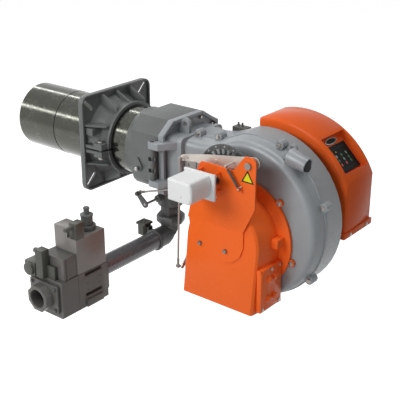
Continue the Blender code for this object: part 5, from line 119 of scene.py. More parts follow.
class Grain(Enum):
    """Surface structure of a finish."""

    CAST = "cast"
    PAINT = "paint"
    SPANGLE = "spangle"
    STEEL = "steel"
    PLASTIC = "plastic"
    GLASS = "glass"
    LAMP = "lamp"


class Recipe(Wiring):
    """Nodes of one material."""

    def __init__(self, name: str) -> None:
        """Start a plain node material with the given name."""
        self.material = bpy.data.materials.new(name)
        self.material.use_nodes = True
        super().__init__(self.material.node_tree)
        self.shader = self.tree.nodes["Principled BSDF"]
        self.place = self.out("ShaderNodeTexCoord", "Object")

    def settings(self, values: dict[str, object]) -> None:
        """Set the shader's own sockets by name."""
        for socket, value in values.items():
            self.shader.inputs[socket].default_value = value

    def noise(self, scale: float, detail: float, stretch: Point = (1.0, 1.0, 1.0)) -> Socket:
        """Noise on the object's own coordinates.

        Args:
            scale: Cells per metre.
            detail: Octaves of the noise.
            stretch: Scale of each axis before the noise is read.

        Returns:
            The factor socket of the noise.
        """
        place = self.out("ShaderNodeMapping", "Vector", {"Vector": self.place, "Scale": stretch})
        return self.out("ShaderNodeTexNoise", "Fac", {"Vector": place, "Scale": scale, "Detail": detail})

    def span(self, source: Socket, low: Flat, high: Flat = (0.0, 1.0)) -> Socket:
        """Map the range low of a socket to the range high."""
        limits = zip(("From Min", "From Max", "To Min", "To Max"), (*low, *high))
        return self.out("ShaderNodeMapRange", "Result", {"Value": source, **dict(limits)})

    def paint(self, factor: Socket, first: Point, second: Point) -> None:
        """Colour the shader by a factor between two linear colours."""
        ends = {"Factor": factor, "A": (*first, 1.0), "B": (*second, 1.0)}
        colour = self.out("ShaderNodeMix", "Result", ends, data_type="RGBA")
        self.link(colour, self.shader.inputs["Base Color"])

    def bump(self, height: Socket, strength: float, depth: float) -> None:
        """Raise the shader's surface by a height socket, a strength and a depth in metres."""
        relief = {"Height": height, "Strength": strength, "Distance": depth}
        self.link(self.out("ShaderNodeBump", "Normal", relief), self.shader.inputs["Normal"])


def to_linear(value: float) -> float:
    """Linear value of one display channel from 0 to 255."""
    share = value / 255.0
    return share / 12.92 if share <= 0.04045 else ((share + 0.055) / 1.055) ** 2.4


@dataclass(frozen=True)
class Finish:
    """One surface finish with everything its material needs."""

    name: str
    grain: Grain
    colour: tuple[int, int, int]
    metallic: float = 0.0
    roughness: float = 0.5
    relief: float = 0.2
    spread: float = 0.10
    size: float = 60.0
    coat: float = 0.0
    shine: float = 0.5
    coat_roughness: float = 0.12

    def shade(self, share: float = 1.0) -> Point:
        """Linear colour, darker or lighter by a share."""
        return tuple(min(1.0, to_linear(channel) * share) for channel in self.colour)

    def material(self) -> bpy.types.Material:
        """The finish's material, made once.

        Returns:
            The material of this finish.
        """
        known = bpy.data.materials.get(self.name)
        if known:
            return known
        recipe = Recipe(self.name)
        colour = (*self.shade(), 1.0)
        recipe.settings({"Base Color": colour, "Metallic": self.metallic, "Roughness": self.roughness,
                         "Specular IOR Level": self.shine, "Coat Weight": self.coat,
                         "Coat Roughness": self.coat_roughness})
        GRAINS[self.grain](self, recipe)
        recipe.material.diffuse_color = colour
        return recipe.material

    def tone(self, recipe: Recipe, factor: Socket, darkest: float = 1.0, lightest: float = 1.0) -> None:
        """Vary the colour by a factor, down and up by shares of the finish's spread."""
        low, high = self.shade(1.0 - darkest * self.spread), self.shade(1.0 + lightest * self.spread)
        recipe.paint(factor, low, high)

    def polish(self, recipe: Recipe, source: Socket, window: Flat, change: Flat) -> None:
        """Vary the roughness with a socket, over a window of it and by a change at each end."""
        ends = (self.roughness + change[0], self.roughness + change[1])
        recipe.link(recipe.span(source, window, ends), recipe.shader.inputs["Roughness"])


@dataclass(frozen=True)
class Texture:
    """Scales of an even grain, in shares of the finish's own size, and its ranges."""

    clouds: float
    cloud_detail: float
    window: Flat
    relief: float
    relief_detail: float
    depth: float
    polish: float = 0.0
    polish_change: Flat = (0.0, 0.0)


@dataclass(frozen=True)
class Spangle:
    """Scales of zinc crystals, in shares of the finish's own size, and their ranges."""

    flecks: float = 2.4
    fleck_window: Flat = (0.45, 1.0)
    patches: float = 0.22
    patch_window: Flat = (0.42, 0.62)
    detail: float = 3.0
    darkest: float = 0.5
    lightest: float = 3.0
    polish_change: Flat = (-0.04, 0.10)
    relief: float = 1.2
    depth: float = 0.3 * MM


MIDDLE: Flat = (0.3, 0.7)
CORE: Flat = (0.35, 0.65)
WHOLE: Flat = (0.0, 1.0)
POLISH_DETAIL = 2.0
LINE_SCALE = 3.0
LINE_DETAIL = 3.0
LINE_STRETCH: Point = (1.0, 1.0, 12.0)
LINE_CHANGE: Flat = (-0.06, 0.08)
LINE_DEPTH = 0.1 * MM
FILM_SCALE = 0.5
FILM_DETAIL = 3.0
FILM_CHANGE: Flat = (0.0, 0.08)
PRINT_SCALE = 4.0
PRINT_DETAIL = 1.0

TEXTURES: dict[Grain, Texture] = {
    Grain.CAST: Texture(0.35, 3.0, MIDDLE, 14.0, 3.0, 0.4 * MM, 1.6, (-0.07, 0.07)),
    Grain.PAINT: Texture(0.15, 2.0, CORE, 5.0, 1.0, 0.25 * MM, 1.0, (-0.03, 0.04)),
    Grain.PLASTIC: Texture(0.3, 2.0, CORE, 22.0, 2.0, 0.12 * MM),
}


def even_grain(finish: Finish, recipe: Recipe) -> None:
    """Casting, enamel or moulded plastic: soft clouds of tone over a fine relief."""
    look = TEXTURES[finish.grain]
    clouds = recipe.noise(finish.size * look.clouds, look.cloud_detail)
    finish.tone(recipe, recipe.span(clouds, look.window))
    if look.polish:
        gloss = recipe.noise(finish.size * look.polish, POLISH_DETAIL)
        finish.polish(recipe, gloss, MIDDLE, look.polish_change)
    recipe.bump(recipe.noise(finish.size * look.relief, look.relief_detail), finish.relief, look.depth)


def spangle_grain(finish: Finish, recipe: Recipe) -> None:
    """Zinc sheet: crystal flecks that come and go in patches."""
    look = Spangle()
    crystals = {"Vector": recipe.place, "Scale": finish.size * look.flecks}
    cells = recipe.out("ShaderNodeTexVoronoi", "Color", crystals)
    flecks = recipe.node("ShaderNodeSeparateColor", {"Color": cells})
    patches = recipe.span(recipe.noise(finish.size * look.patches, look.detail), look.patch_window)
    factor = recipe.calc("MULTIPLY", recipe.span(flecks.outputs["Red"], look.fleck_window), patches)
    finish.tone(recipe, factor, look.darkest, look.lightest)
    finish.polish(recipe, flecks.outputs["Green"], WHOLE, look.polish_change)
    recipe.bump(recipe.noise(finish.size * look.relief, look.detail), finish.relief, look.depth)


def steel_grain(finish: Finish, recipe: Recipe) -> None:
    """Bare steel: fine drawn lines along one axis."""
    lines = recipe.noise(finish.size * LINE_SCALE, LINE_DETAIL, LINE_STRETCH)
    finish.tone(recipe, recipe.span(lines, MIDDLE))
    finish.polish(recipe, lines, MIDDLE, LINE_CHANGE)
    recipe.bump(lines, finish.relief, LINE_DEPTH)


def glass_grain(finish: Finish, recipe: Recipe) -> None:
    """Dark sight glass or foil: smooth with a faint film."""
    finish.polish(recipe, recipe.noise(finish.size * FILM_SCALE, FILM_DETAIL), MIDDLE, FILM_CHANGE)


def lamp_grain(finish: Finish, recipe: Recipe) -> None:
    """Printed lamp or key: a print with a slightly uneven tone."""
    finish.tone(recipe, recipe.noise(finish.size * PRINT_SCALE, PRINT_DETAIL))


GRAINS: dict[Grain, Callable[[Finish, Recipe], None]] = {
    **dict.fromkeys(TEXTURES, even_grain),
    Grain.SPANGLE: spangle_grain,
    Grain.STEEL: steel_grain,
    Grain.GLASS: glass_grain,
    Grain.LAMP: lamp_grain,
}

DARK_CASTING = Finish("dark_grey_casting", Grain.CAST, (98, 101, 100), 0.15, 0.42, 0.10, 0.05, shine=0.35)
LIGHT_CASTING = Finish("light_grey_casting", Grain.CAST, (146, 150, 153), 0.15, 0.40, 0.07, 0.03, shine=0.3)
IRON = Finish("black_iron", Grain.CAST, (86, 89, 87), 0.2, 0.44, 0.12, 0.08, shine=0.3)
ZINC = Finish("zinc_sheet", Grain.SPANGLE, (86, 87, 81), 1.0, 0.13, 0.015, 0.12)
BRIGHT = Finish("bright_steel", Grain.STEEL, (168, 165, 160), 1.0, 0.30, 0.06, 0.08)
BOLT = Finish("bolt_steel", Grain.STEEL, (122, 125, 124), 0.6, 0.34, 0.04, 0.08, shine=0.3)
WARM = Finish("warm_steel", Grain.STEEL, (206, 198, 190), 0.55, 0.38, 0.03, 0.04, shine=0.3)
ROD = Finish("rod_steel", Grain.STEEL, (150, 145, 140), 0.5, 0.36, 0.02, 0.05, shine=0.3)
DARK_STEEL = Finish("blackened_steel", Grain.STEEL, (88, 91, 90), 0.6, 0.40, 0.10, 0.10, shine=0.3)
ORANGE = Finish("orange_enamel", Grain.PAINT, (243, 106, 40), 0.0, 0.24, 0.008, 0.015, shine=0.12)
# The console's enamel is the hood's orange painted darker: painted shade for the console's dim sides.
SHADED_CONSOLE_ORANGE = Finish("console_enamel", Grain.PAINT, (228, 96, 38), 0.0, 0.20, 0.008, 0.015, shine=0.05)
PIPE = Finish("grey_pipe_paint", Grain.PAINT, (112, 113, 116), 0.25, 0.26, 0.006, 0.03, shine=0.4)
VALVE = Finish("anodised_valve_block", Grain.CAST, (94, 92, 89), 0.1, 0.36, 0.02, 0.04, shine=0.25)
COIL = Finish("coil_casing", Grain.CAST, (128, 125, 122), 0.1, 0.36, 0.015, 0.04, shine=0.25)
BLACK = Finish("black_moulding", Grain.PLASTIC, (74, 75, 69), 0.1, 0.42, 0.10, 0.06, shine=0.35)
WHITE = Finish("white_moulding", Grain.PLASTIC, (226, 227, 227), 0.0, 0.32, 0.02, 0.015, shine=0.3)
CERAMIC = Finish("glazed_ceramic", Grain.PLASTIC, (220, 216, 206), 0.0, 0.22, 0.04, 0.03, coat=0.4)
MOTOR = Finish("motor_grey", Grain.CAST, (108, 112, 114), 0.25, 0.48, 0.2, 0.08)
SMOKE = Finish("dark_glass", Grain.GLASS, (14, 16, 15), 0.0, 0.22, shine=0.1)
FOIL = Finish("panel_foil", Grain.GLASS, (24, 24, 25), 0.0, 0.36, shine=0.06)
LINE = Finish("panel_line", Grain.LAMP, (66, 68, 69), 0.0, 0.4, shine=0.1)
GREEN = Finish("green_lamp", Grain.LAMP, (60, 108, 68), 0.0, 0.35, 0.0, 0.15, shine=0.2)
PALE_GREEN = Finish("pale_green_lamp", Grain.LAMP, (120, 148, 128), 0.0, 0.35, 0.0, 0.15, shine=0.2)
PALE = Finish("pale_lamp", Grain.LAMP, (160, 164, 162), 0.0, 0.35, 0.0, 0.15, shine=0.2)
RED = Finish("red_lamp", Grain.LAMP, (178, 86, 76), 0.0, 0.35, 0.0, 0.15, shine=0.2)
YELLOW = Finish("yellow_plate", Grain.PAINT, (226, 216, 26), 0.0, 0.4, 0.02, 0.02, shine=0.2)
BLACK_EDGE = Finish("black_print", Grain.PLASTIC, (34, 34, 22), 0.0, 0.45, shine=0.2)
SEAL = Finish("black_seal", Grain.PLASTIC, (30, 32, 32), 0.0, 0.6, shine=0.1)

NODE_FINISHES: dict[Finish, tuple[str, ...]] = {
    DARK_CASTING: ("mounting_flange", "head_housing", "setting_quadrant"),
    LIGHT_CASTING: ("hinge_door", "fan_housing_front", "fan_housing_back"),
    IRON: ("throttle_body", "throttle_lever", "riser_hex", "union_nut", "gas_elbow", "regulator"),
    ZINC: ("blast_tube", "flame_disc", "gas_head", "air_damper", "impeller"),
    BRIGHT: ("clamp_bolt", "gas_butterfly", "door_bolt_1", "door_bolt_2", "door_bolt_3", "motor_shaft",
             "damper_lever"),
    BOLT: ("bracket_bolt_1", "bracket_bolt_2"),
    WARM: ("follower_lever",),
    ROD: ("air_rod", "gas_rod", "neck_plate", "follower_pivot"),
    # Blackened steel on the hinge pin is partly its own finish and partly painted shade for the hinge
    # barrel's windows.
    DARK_STEEL: ("hinge_pin", "servo_shaft", "cam_disc", "follower_spring"),
    ORANGE: ("intake_hood", "intake_side_cover", "servo_bracket"),
    SHADED_CONSOLE_ORANGE: ("control_cover", "console_base"),
    PIPE: ("gas_pipe",),
    VALVE: ("gas_valve_body", "outlet_flange", "inlet_flange", "low_solenoid"),
    COIL: ("tall_solenoid",),
    BLACK: ("power_plug", "valve_pressure_switch", "top_plug", "gas_pressure_switch", "air_pressure_switch"),
    WHITE: ("servo_body", "servo_plate"),
    CERAMIC: ("ignition_electrodes",),
    MOTOR: ("fan_motor", "motor_cowl", "console_chassis"),
    SMOKE: ("sight_glass",),
    FOIL: ("display_panel",),
}

EDGE_RADII: dict[Finish, float] = {
    DARK_CASTING: 1.4 * MM,
    LIGHT_CASTING: 1.4 * MM,
    IRON: 0.8 * MM,
    ORANGE: 0.9 * MM,
    SHADED_CONSOLE_ORANGE: 0.9 * MM,
    VALVE: 0.9 * MM,
    COIL: 1.2 * MM,
    BLACK: 0.8 * MM,
    WHITE: 1.2 * MM,
    MOTOR: 0.8 * MM,
    BRIGHT: 0.4 * MM,
    BOLT: 0.4 * MM,
}


# Geometry Nodes


class Tree(Wiring):
    """Geometry Nodes tree with named inputs."""

    def __init__(self, name: str, sizes: dict[str, float], with_material: bool = True) -> None:
        """Start a tree.

        Args:
            name: Name of the tree.
            sizes: Named number inputs and their first values.
            with_material: Whether the tree takes a material.
        """
        super().__init__(bpy.data.node_groups.new(name, "GeometryNodeTree"))
        face = self.tree.interface
        face.new_socket("Geometry", in_out="INPUT", socket_type="NodeSocketGeometry")
        for size, value in sizes.items():
            face.new_socket(size, in_out="INPUT", socket_type="NodeSocketFloat").default_value = value
        if with_material:
            face.new_socket("Material", in_out="INPUT", socket_type="NodeSocketMaterial")
        face.new_socket("Geometry", in_out="OUTPUT", socket_type="NodeSocketGeometry")
        self.start = self.tree.nodes.new("NodeGroupInput")
        self.end = self.tree.nodes.new("NodeGroupOutput")

    def size(self, name: str) -> Socket:
        """Output of a named input."""
        return self.start.outputs[name]

    def vector(self, **parts: object) -> Socket:
        """Vector from its X, Y and Z."""
        return self.out("ShaderNodeCombineXYZ", "Vector", parts)

    def close(self, geometry: Socket) -> NodeTree:
        """Lead the geometry out, and give the tree."""
        self.link(geometry, self.end.inputs["Geometry"])
        return self.tree

    def finish(self, geometry: Socket) -> NodeTree:
        """Realize the instances, give them the material and close the tree."""
        real = self.out("GeometryNodeRealizeInstances", "Geometry", {"Geometry": geometry})
        dressed = {"Geometry": real, "Material": self.size("Material")}
        return self.close(self.out("GeometryNodeSetMaterial", "Geometry", dressed))

    def sweep(self, path: Socket, sides: int, radius: Socket) -> NodeTree:
        """Sweep a round wire along a path, shade it smooth and finish the tree."""
        wire = self.out("GeometryNodeCurvePrimitiveCircle", "Curve", {"Resolution": sides, "Radius": radius})
        run = {"Curve": path, "Profile Curve": wire, "Fill Caps": True}
        mesh = self.out("GeometryNodeCurveToMesh", "Mesh", run)
        return self.finish(self.out("GeometryNodeSetShadeSmooth", "Geometry", {"Geometry": mesh}))


def input_id(tree: NodeTree, name: str) -> str:
    """Identifier of a tree's named input."""
    return next(item.identifier for item in tree.interface.items_tree
                if item.item_type == "SOCKET" and item.in_out == "INPUT" and item.name == name)


def smooth_edges_tree() -> NodeTree:
    """Tree that shades faces smooth and keeps the real corners sharp.

    Returns:
        The node tree.
    """
    tree = Tree("soft shading by angle", {"Corner angle": SMOOTH_ANGLE}, with_material=False)
    shading = "GeometryNodeSetShadeSmooth"
    whole = {"Geometry": tree.size("Geometry"), "Shade Smooth": True}
    faces = tree.out(shading, "Geometry", whole, domain="FACE")
    angle = tree.out("GeometryNodeInputMeshEdgeAngle", "Unsigned Angle")
    corner = tree.out("FunctionNodeCompare", "Result", {0: angle, 1: tree.size("Corner angle")},
                      data_type="FLOAT", operation="GREATER_THAN")
    sharp = {"Geometry": faces, "Selection": corner, "Shade Smooth": False}
    return tree.close(tree.out(shading, "Geometry", sharp, domain="EDGE"))


def screw_tree(barrel_share: float = 0.82, crown_share: float = 0.84, washer_sides: int = 20) -> NodeTree:
    """Tree that sets a washer and a bevelled head on every point.

    Args:
        barrel_share: Share of the head's height below its bevel.
        crown_share: Share of the head's radius at its top.
        washer_sides: Number of sides of the washer.

    Returns:
        The node tree.
    """
    tree = Tree("screw heads", {"Head radius": 0.006, "Head height": 0.004, "Head sides": 6.0,
                                "Washer radius": 0.008, "Washer height": 0.001, "Lean X": 0.0, "Lean Y": 0.0,
                                "Seed": 3.0})
    size = tree.size
    sides = tree.out("FunctionNodeFloatToInt", "Integer", {"Float": size("Head sides")})
    barrel = tree.calc("MULTIPLY", size("Head height"), barrel_share)
    bevel = tree.calc("MULTIPLY", size("Head height"), 1.0 - barrel_share)
    crown = tree.calc("MULTIPLY", size("Head radius"), crown_share)
    neck = tree.calc("ADD", size("Washer height"), barrel)
    stack = ((sides, size("Head radius"), crown, bevel, neck),
             (sides, size("Head radius"), size("Head radius"), barrel, size("Washer height")),
             (washer_sides, size("Washer radius"), size("Washer radius"), size("Washer height"), 0.0))
    cones = []
    for count, low, high, depth, lift in stack:
        cone = tree.out("GeometryNodeMeshCone", "Mesh",
                        {"Vertices": count, "Radius Bottom": low, "Radius Top": high, "Depth": depth})
        raised = {"Geometry": cone, "Translation": tree.vector(Z=lift)}
        cones.append(tree.out("GeometryNodeTransform", "Geometry", raised))
    screw = tree.out("GeometryNodeJoinGeometry", "Geometry", {"Geometry": cones})
    points = tree.out("GeometryNodeMeshToPoints", "Points", {"Mesh": size("Geometry")})
    lean = tree.vector(X=size("Lean X"), Y=size("Lean Y"))
    heads = tree.out("GeometryNodeInstanceOnPoints", "Instances",
                     {"Points": points, "Instance": screw, "Rotation": lean})
    seed = tree.out("FunctionNodeFloatToInt", "Integer", {"Float": size("Seed")})
    spin = tree.out("FunctionNodeRandomValue", 1, {"Seed": seed}, data_type="FLOAT")
    turn = tree.vector(Z=tree.calc("MULTIPLY", spin, math.tau))
    spun = {"Instances": heads, "Rotation": turn}
    return tree.finish(tree.out("GeometryNodeRotateInstances", "Instances", spun))


def spring_tree(steps: int = 14, wire_sides: int = 7) -> NodeTree:
    """Tree that winds a wire into a close coil.

    Args:
        steps: Steps in each turn.
        wire_sides: Number of sides of the wire.

    Returns:
        The node tree.
    """
    tree = Tree("coil spring", {"Turns": 20.0, "Coil radius": 0.0035, "Length": 0.05, "Wire radius": 0.0008})
    radius = tree.size("Coil radius")
    coil = {"Resolution": steps, "Rotations": tree.size("Turns"), "Start Radius": radius,
            "End Radius": radius, "Height": tree.size("Length")}
    spiral = tree.out("GeometryNodeCurveSpiral", "Curve", coil)
    return tree.sweep(spiral, wire_sides, tree.size("Wire radius"))


def bead_tree(bead_sides: int = 10) -> NodeTree:
    """Tree that sweeps a round bead along a path of edges."""
    tree = Tree("swept bead", {"Bead radius": 0.002})
    path = tree.out("GeometryNodeMeshToCurve", "Curve", {"Mesh": tree.size("Geometry")})
    return tree.sweep(path, bead_sides, tree.size("Bead radius"))


# Shapes


def placed(name: str, data: bpy.types.ID) -> Thing:
    """New object of the scene with the given data, at the origin."""
    made = bpy.data.objects.new(name, data)
    bpy.context.scene.collection.objects.link(made)
    return made


def link_mesh(name: str, shape: Shape, smooth: bool = True) -> Thing:
    """Turn a working mesh into an object at the origin.

    Args:
        name: Name of the object.
        shape: Working mesh, which is freed.
        smooth: Whether round faces are shaded smooth.

    Returns:
        The new object.
    """
    bmesh.ops.remove_doubles(shape, verts=shape.verts, dist=0.01 * MM)
    bmesh.ops.recalc_face_normals(shape, faces=shape.faces)
    mesh = bpy.data.meshes.new(name)
    shape.to_mesh(mesh)
    shape.free()
    made = placed(name, mesh)
    if smooth:
        mesh.shade_smooth()
        mesh.set_sharp_from_angle(angle=SMOOTH_ANGLE)
    return made


def stitch(shape: Shape, rings: Sequence[Sequence[bmesh.types.BMVert]], closed: bool = False) -> None:
    """Join a row of rings with faces.

    Args:
        shape: Working mesh.
        rings: Rings with as many corners each.
        closed: Whether the last ring meets the first. If not, both ends get a cap.
    """
    count = len(rings[0])
    pairs = list(zip(rings, rings[1:]))
    if closed:
        pairs.append((rings[-1], rings[0]))
    else:
        shape.faces.new(rings[0][::-1])
        shape.faces.new(rings[-1])
    for low, high in pairs:
        for step in range(count):
            after = (step + 1) % count
            shape.faces.new((low[step], low[after], high[after], high[step]))


def turned(shape: Shape, profile: Iterable[Flat], centre: Point, axis: Point, sides: int = 32,
           closed: bool = False) -> None:
    """Add a turned body to a working mesh.

    Args:
        shape: Working mesh.
        profile: Pairs of distance along the axis and radius.
        centre: Point on the axis that the distances count from.
        axis: Direction of the axis.
        sides: Number of sides.
        closed: Whether the profile closes into a hoop.
    """
    way = Vector(axis).normalized()
    across = way.orthogonal().normalized()
    up = way.cross(across)
    angles = [math.tau * step / sides for step in range(sides)]
    rings = []
    for along, radius in profile:
        middle = Vector(centre) + way * along
        ring = []
        for angle in angles:
            corner = middle + across * radius * math.cos(angle)
            ring.append(shape.verts.new(corner + up * radius * math.sin(angle)))
        rings.append(ring)
    stitch(shape, rings, closed)


def slab(shape: Shape, outline: Sequence[Point], rise: Point) -> None:
    """Add a closed plate to a working mesh, from the corners of one face and the offset of the other."""
    low = [shape.verts.new(corner) for corner in outline]
    high = [shape.verts.new(Vector(corner) + Vector(rise)) for corner in outline]
    stitch(shape, (low, high))


def block(shape: Shape, low: Point, high: Point) -> None:
    """Add a block between two corners to a working mesh."""
    (left, front, bottom), (right, back, top) = low, high
    outline = [(left, front, bottom), (right, front, bottom), (right, back, bottom), (left, back, bottom)]
    slab(shape, outline, (0.0, 0.0, top - bottom))


def soften_edges(piece: Thing, width: float, angle: float = EDGE_ANGLE, steps: int = 2) -> None:
    """Round a piece's corners with a modifier.

    Args:
        piece: The piece.
        width: Width of the rounding in metres.
        angle: Smallest angle of a corner that is rounded.
        steps: Segments of the rounding.
    """
    bevel = piece.modifiers.new("edge", "BEVEL")
    bevel.width = width
    bevel.segments = steps
    bevel.limit_method = "ANGLE"
    bevel.angle_limit = angle


def points_object(name: str, places: Sequence[Point], joined: bool = False) -> Thing:
    """Object that holds only points, or with joined a path through them."""
    mesh = bpy.data.meshes.new(name)
    path = [(step, step + 1) for step in range(len(places) - 1)] if joined else []
    mesh.from_pydata(places, path, [])
    return placed(name, mesh)


def grown(seed: Thing, tree: NodeTree, values: dict[str, object], move: Matrix | None = None) -> Thing:
    """Run a tree on an object and keep the result as a plain mesh.

    Args:
        seed: Object the tree starts from; it is removed.
        tree: Geometry Nodes tree.
        values: Values of the tree's named inputs.
        move: Placing of the result in the object's frame.

    Returns:
        A plain mesh object with the seed's name.
    """
    name = seed.name
    modifier = seed.modifiers.new("nodes", "NODES")
    modifier.node_group = tree
    for size, value in values.items():
        modifier[input_id(tree, size)] = value
    bpy.context.view_layer.update()
    mesh = bpy.data.meshes.new_from_object(seed.evaluated_get(bpy.context.evaluated_depsgraph_get()))
    bpy.data.objects.remove(seed)
    if move:
        mesh.transform(move)
    mesh.name = name
    return placed(name, mesh)


def wear(piece: Thing, finish: Finish) -> None:
    """Give a piece the material of a finish and no other."""
    piece.data.materials.clear()
    piece.data.materials.append(finish.material())


def settle(piece: Thing, body: str, finish: Finish, slot: str, stands_for: Sequence[str] = ()) -> None:
    """Dress a finished piece and hang it on its body.

    Args:
        piece: The piece.
        body: Body it rides on.
        finish: Its finish.
        slot: Material slot that it belongs to; not used.
        stands_for: Nodes that it replaces.
    """
    wear(piece, finish)
    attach(piece, body)
    if stands_for:
        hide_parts(*stands_for)
    log.info("%s rides on %s in %s", piece.name, body, finish.name)


# Sub-assemblies


@dataclass
class CadDress:
    """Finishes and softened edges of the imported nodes."""

    merge: float = 0.02 * MM
    flat_angle: float = math.radians(1.2)
    plain: tuple[str, ...] = ("impeller", "flame_disc", "cam_disc")
    creased: tuple[str, ...] = ("servo_bracket", "follower_lever", "servo_body")
    crease_angle: float = math.radians(9.0)

    def build(self) -> None:
        """Give every node its finish, clean its facets and soften its corners."""
        tree = smooth_edges_tree()
        for finish, names in NODE_FINISHES.items():
            for name in names:
                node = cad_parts[name]
                if node.data.materials:
                    node.data.materials[0] = finish.material()
                else:
                    node.data.materials.append(finish.material())
                self.soften(node, EDGE_RADII.get(finish, 0.0), tree)
                log.info("%s in %s", name, finish.name)

    def soften(self, node: Thing, radius: float, tree: NodeTree) -> None:
        """Weld the loose triangles and round the edges with modifiers.

        Args:
            node: Node's object.
            radius: Width of the rounding, or 0.
            tree: Shading tree.
        """
        weld = node.modifiers.new("weld", "WELD")
        weld.merge_threshold = self.merge
        if radius and node.name not in self.plain:
            clean = node.modifiers.new("clean", "DECIMATE")
            clean.decimate_type = "DISSOLVE"
            clean.angle_limit = self.flat_angle
            soften_edges(node, radius)
        shading = node.modifiers.new("shading", "NODES")
        shading.node_group = tree
        if node.name in self.creased:
            shading[input_id(tree, "Corner angle")] = self.crease_angle


class Side(Enum):
    """Side that a screw's head faces, as its X and Y."""

    RIGHT = (1.0, 0.0)
    FRONT = (0.0, -1.0)
    BACK = (0.0, 1.0)


@dataclass
class ScrewSet:
    """Like screws on one seat plane."""

    name: str
    body: str
    slot: str
    side: Side
    seat: float
    places: Flats
    head: float
    height: float
    sides: int = 6
    washer: float = 1.35
    washer_height: float = 0.9 * MM
    finish: Finish = BRIGHT

    def point(self, place: Flat) -> Point:
        """Point of a place on the seat plane."""
        first, second = place
        return (self.seat, first, second) if self.side is Side.RIGHT else (first, self.seat, second)

    def build(self, tree: NodeTree) -> None:
        """Grow the screw heads with the screw tree."""
        quarter = 0.5 * math.pi
        across, along = self.side.value
        seed = points_object(self.name, [self.point(place) for place in self.places])
        values = {"Head radius": self.head, "Head height": self.height, "Head sides": float(self.sides),
                  "Washer radius": self.head * self.washer, "Washer height": self.washer_height,
                  "Lean X": -along * quarter, "Lean Y": across * quarter, "Material": self.finish.material()}
        settle(grown(seed, tree, values), self.body, self.finish, self.slot)


@dataclass
class Fasteners:
    """Every small screw that the castings and covers carry."""

    seam: Flats = ((0.68487, 0.11368), (0.83668, -0.03813), (0.80349, -0.2743), (0.66801, -0.36916),
                   (0.46718, 0.09272), (0.389, 0.0865))
    ears: Flats = ((0.72499, -0.03601), (0.77223, -0.20932), (0.46901, -0.03601), (0.42177, -0.20932))
    side_cover: Flats = ((-0.187, -0.329), (-0.105, -0.329), (-0.105, -0.215), (-0.146, -0.215))
    console: Flats = ((0.112, -0.16915), (0.208, -0.16915))
    ports: Flats = ((0.1956, -0.3294), (0.1956, -0.2606), (0.2884, -0.3294), (0.2884, -0.2606))
    cam: Flats = ((0.60501, 0.11089), (0.57444, 0.11556), (0.5442, 0.10907), (0.51824, 0.09225))
    quadrant: Flats = ((0.216, -0.04035),)
    servo: Flats = ((0.5655, 0.0195),)

    def sets(self) -> list[ScrewSet]:
        """All groups of like screws."""
        return [
            ScrewSet("seam_bolts", "swing", "fan_housing_front", Side.FRONT, -0.0421, self.seam,
                     6.0 * MM, 4.5 * MM),
            ScrewSet("hood_ear_bolts", "swing", "intake_hood", Side.FRONT, -0.0944, self.ears,
                     6.4 * MM, 5.0 * MM),
            ScrewSet("side_cover_screws", "swing", "intake_side_cover", Side.RIGHT, 0.7429, self.side_cover,
                     3.6 * MM, 2.4 * MM, sides=16),
            ScrewSet("console_screws", "swing", "console_base", Side.RIGHT, 0.8451, self.console,
                     3.8 * MM, 2.4 * MM, sides=16),
            ScrewSet("outlet_screws", "head", "outlet_flange", Side.BACK, -0.3516, self.ports,
                     5.2 * MM, 4.4 * MM, finish=IRON),
            ScrewSet("inlet_screws", "head", "inlet_flange", Side.FRONT, -0.5584, self.ports,
                     5.2 * MM, 4.4 * MM, finish=IRON),
            ScrewSet("quadrant_bolt", "head", "setting_quadrant", Side.FRONT, -0.1313, self.quadrant,
                     5.6 * MM, 3.0 * MM, sides=20, washer=1.25),
            ScrewSet("servo_cover_screw", "swing", "servo_body", Side.FRONT, -0.3319, self.servo,
                     1.7 * MM, 0.3 * MM, sides=16, washer=1.0, washer_height=0.1 * MM, finish=ROD),
            ScrewSet("cam_screws", "servo", "cam_disc", Side.FRONT, -0.1501, self.cam,
                     2.3 * MM, 1.6 * MM, sides=12, washer=1.1, washer_height=0.2 * MM),
        ]

    def build(self) -> None:
        """Build all groups."""
        tree = screw_tree()
        for group in self.sets():
            group.build(tree)


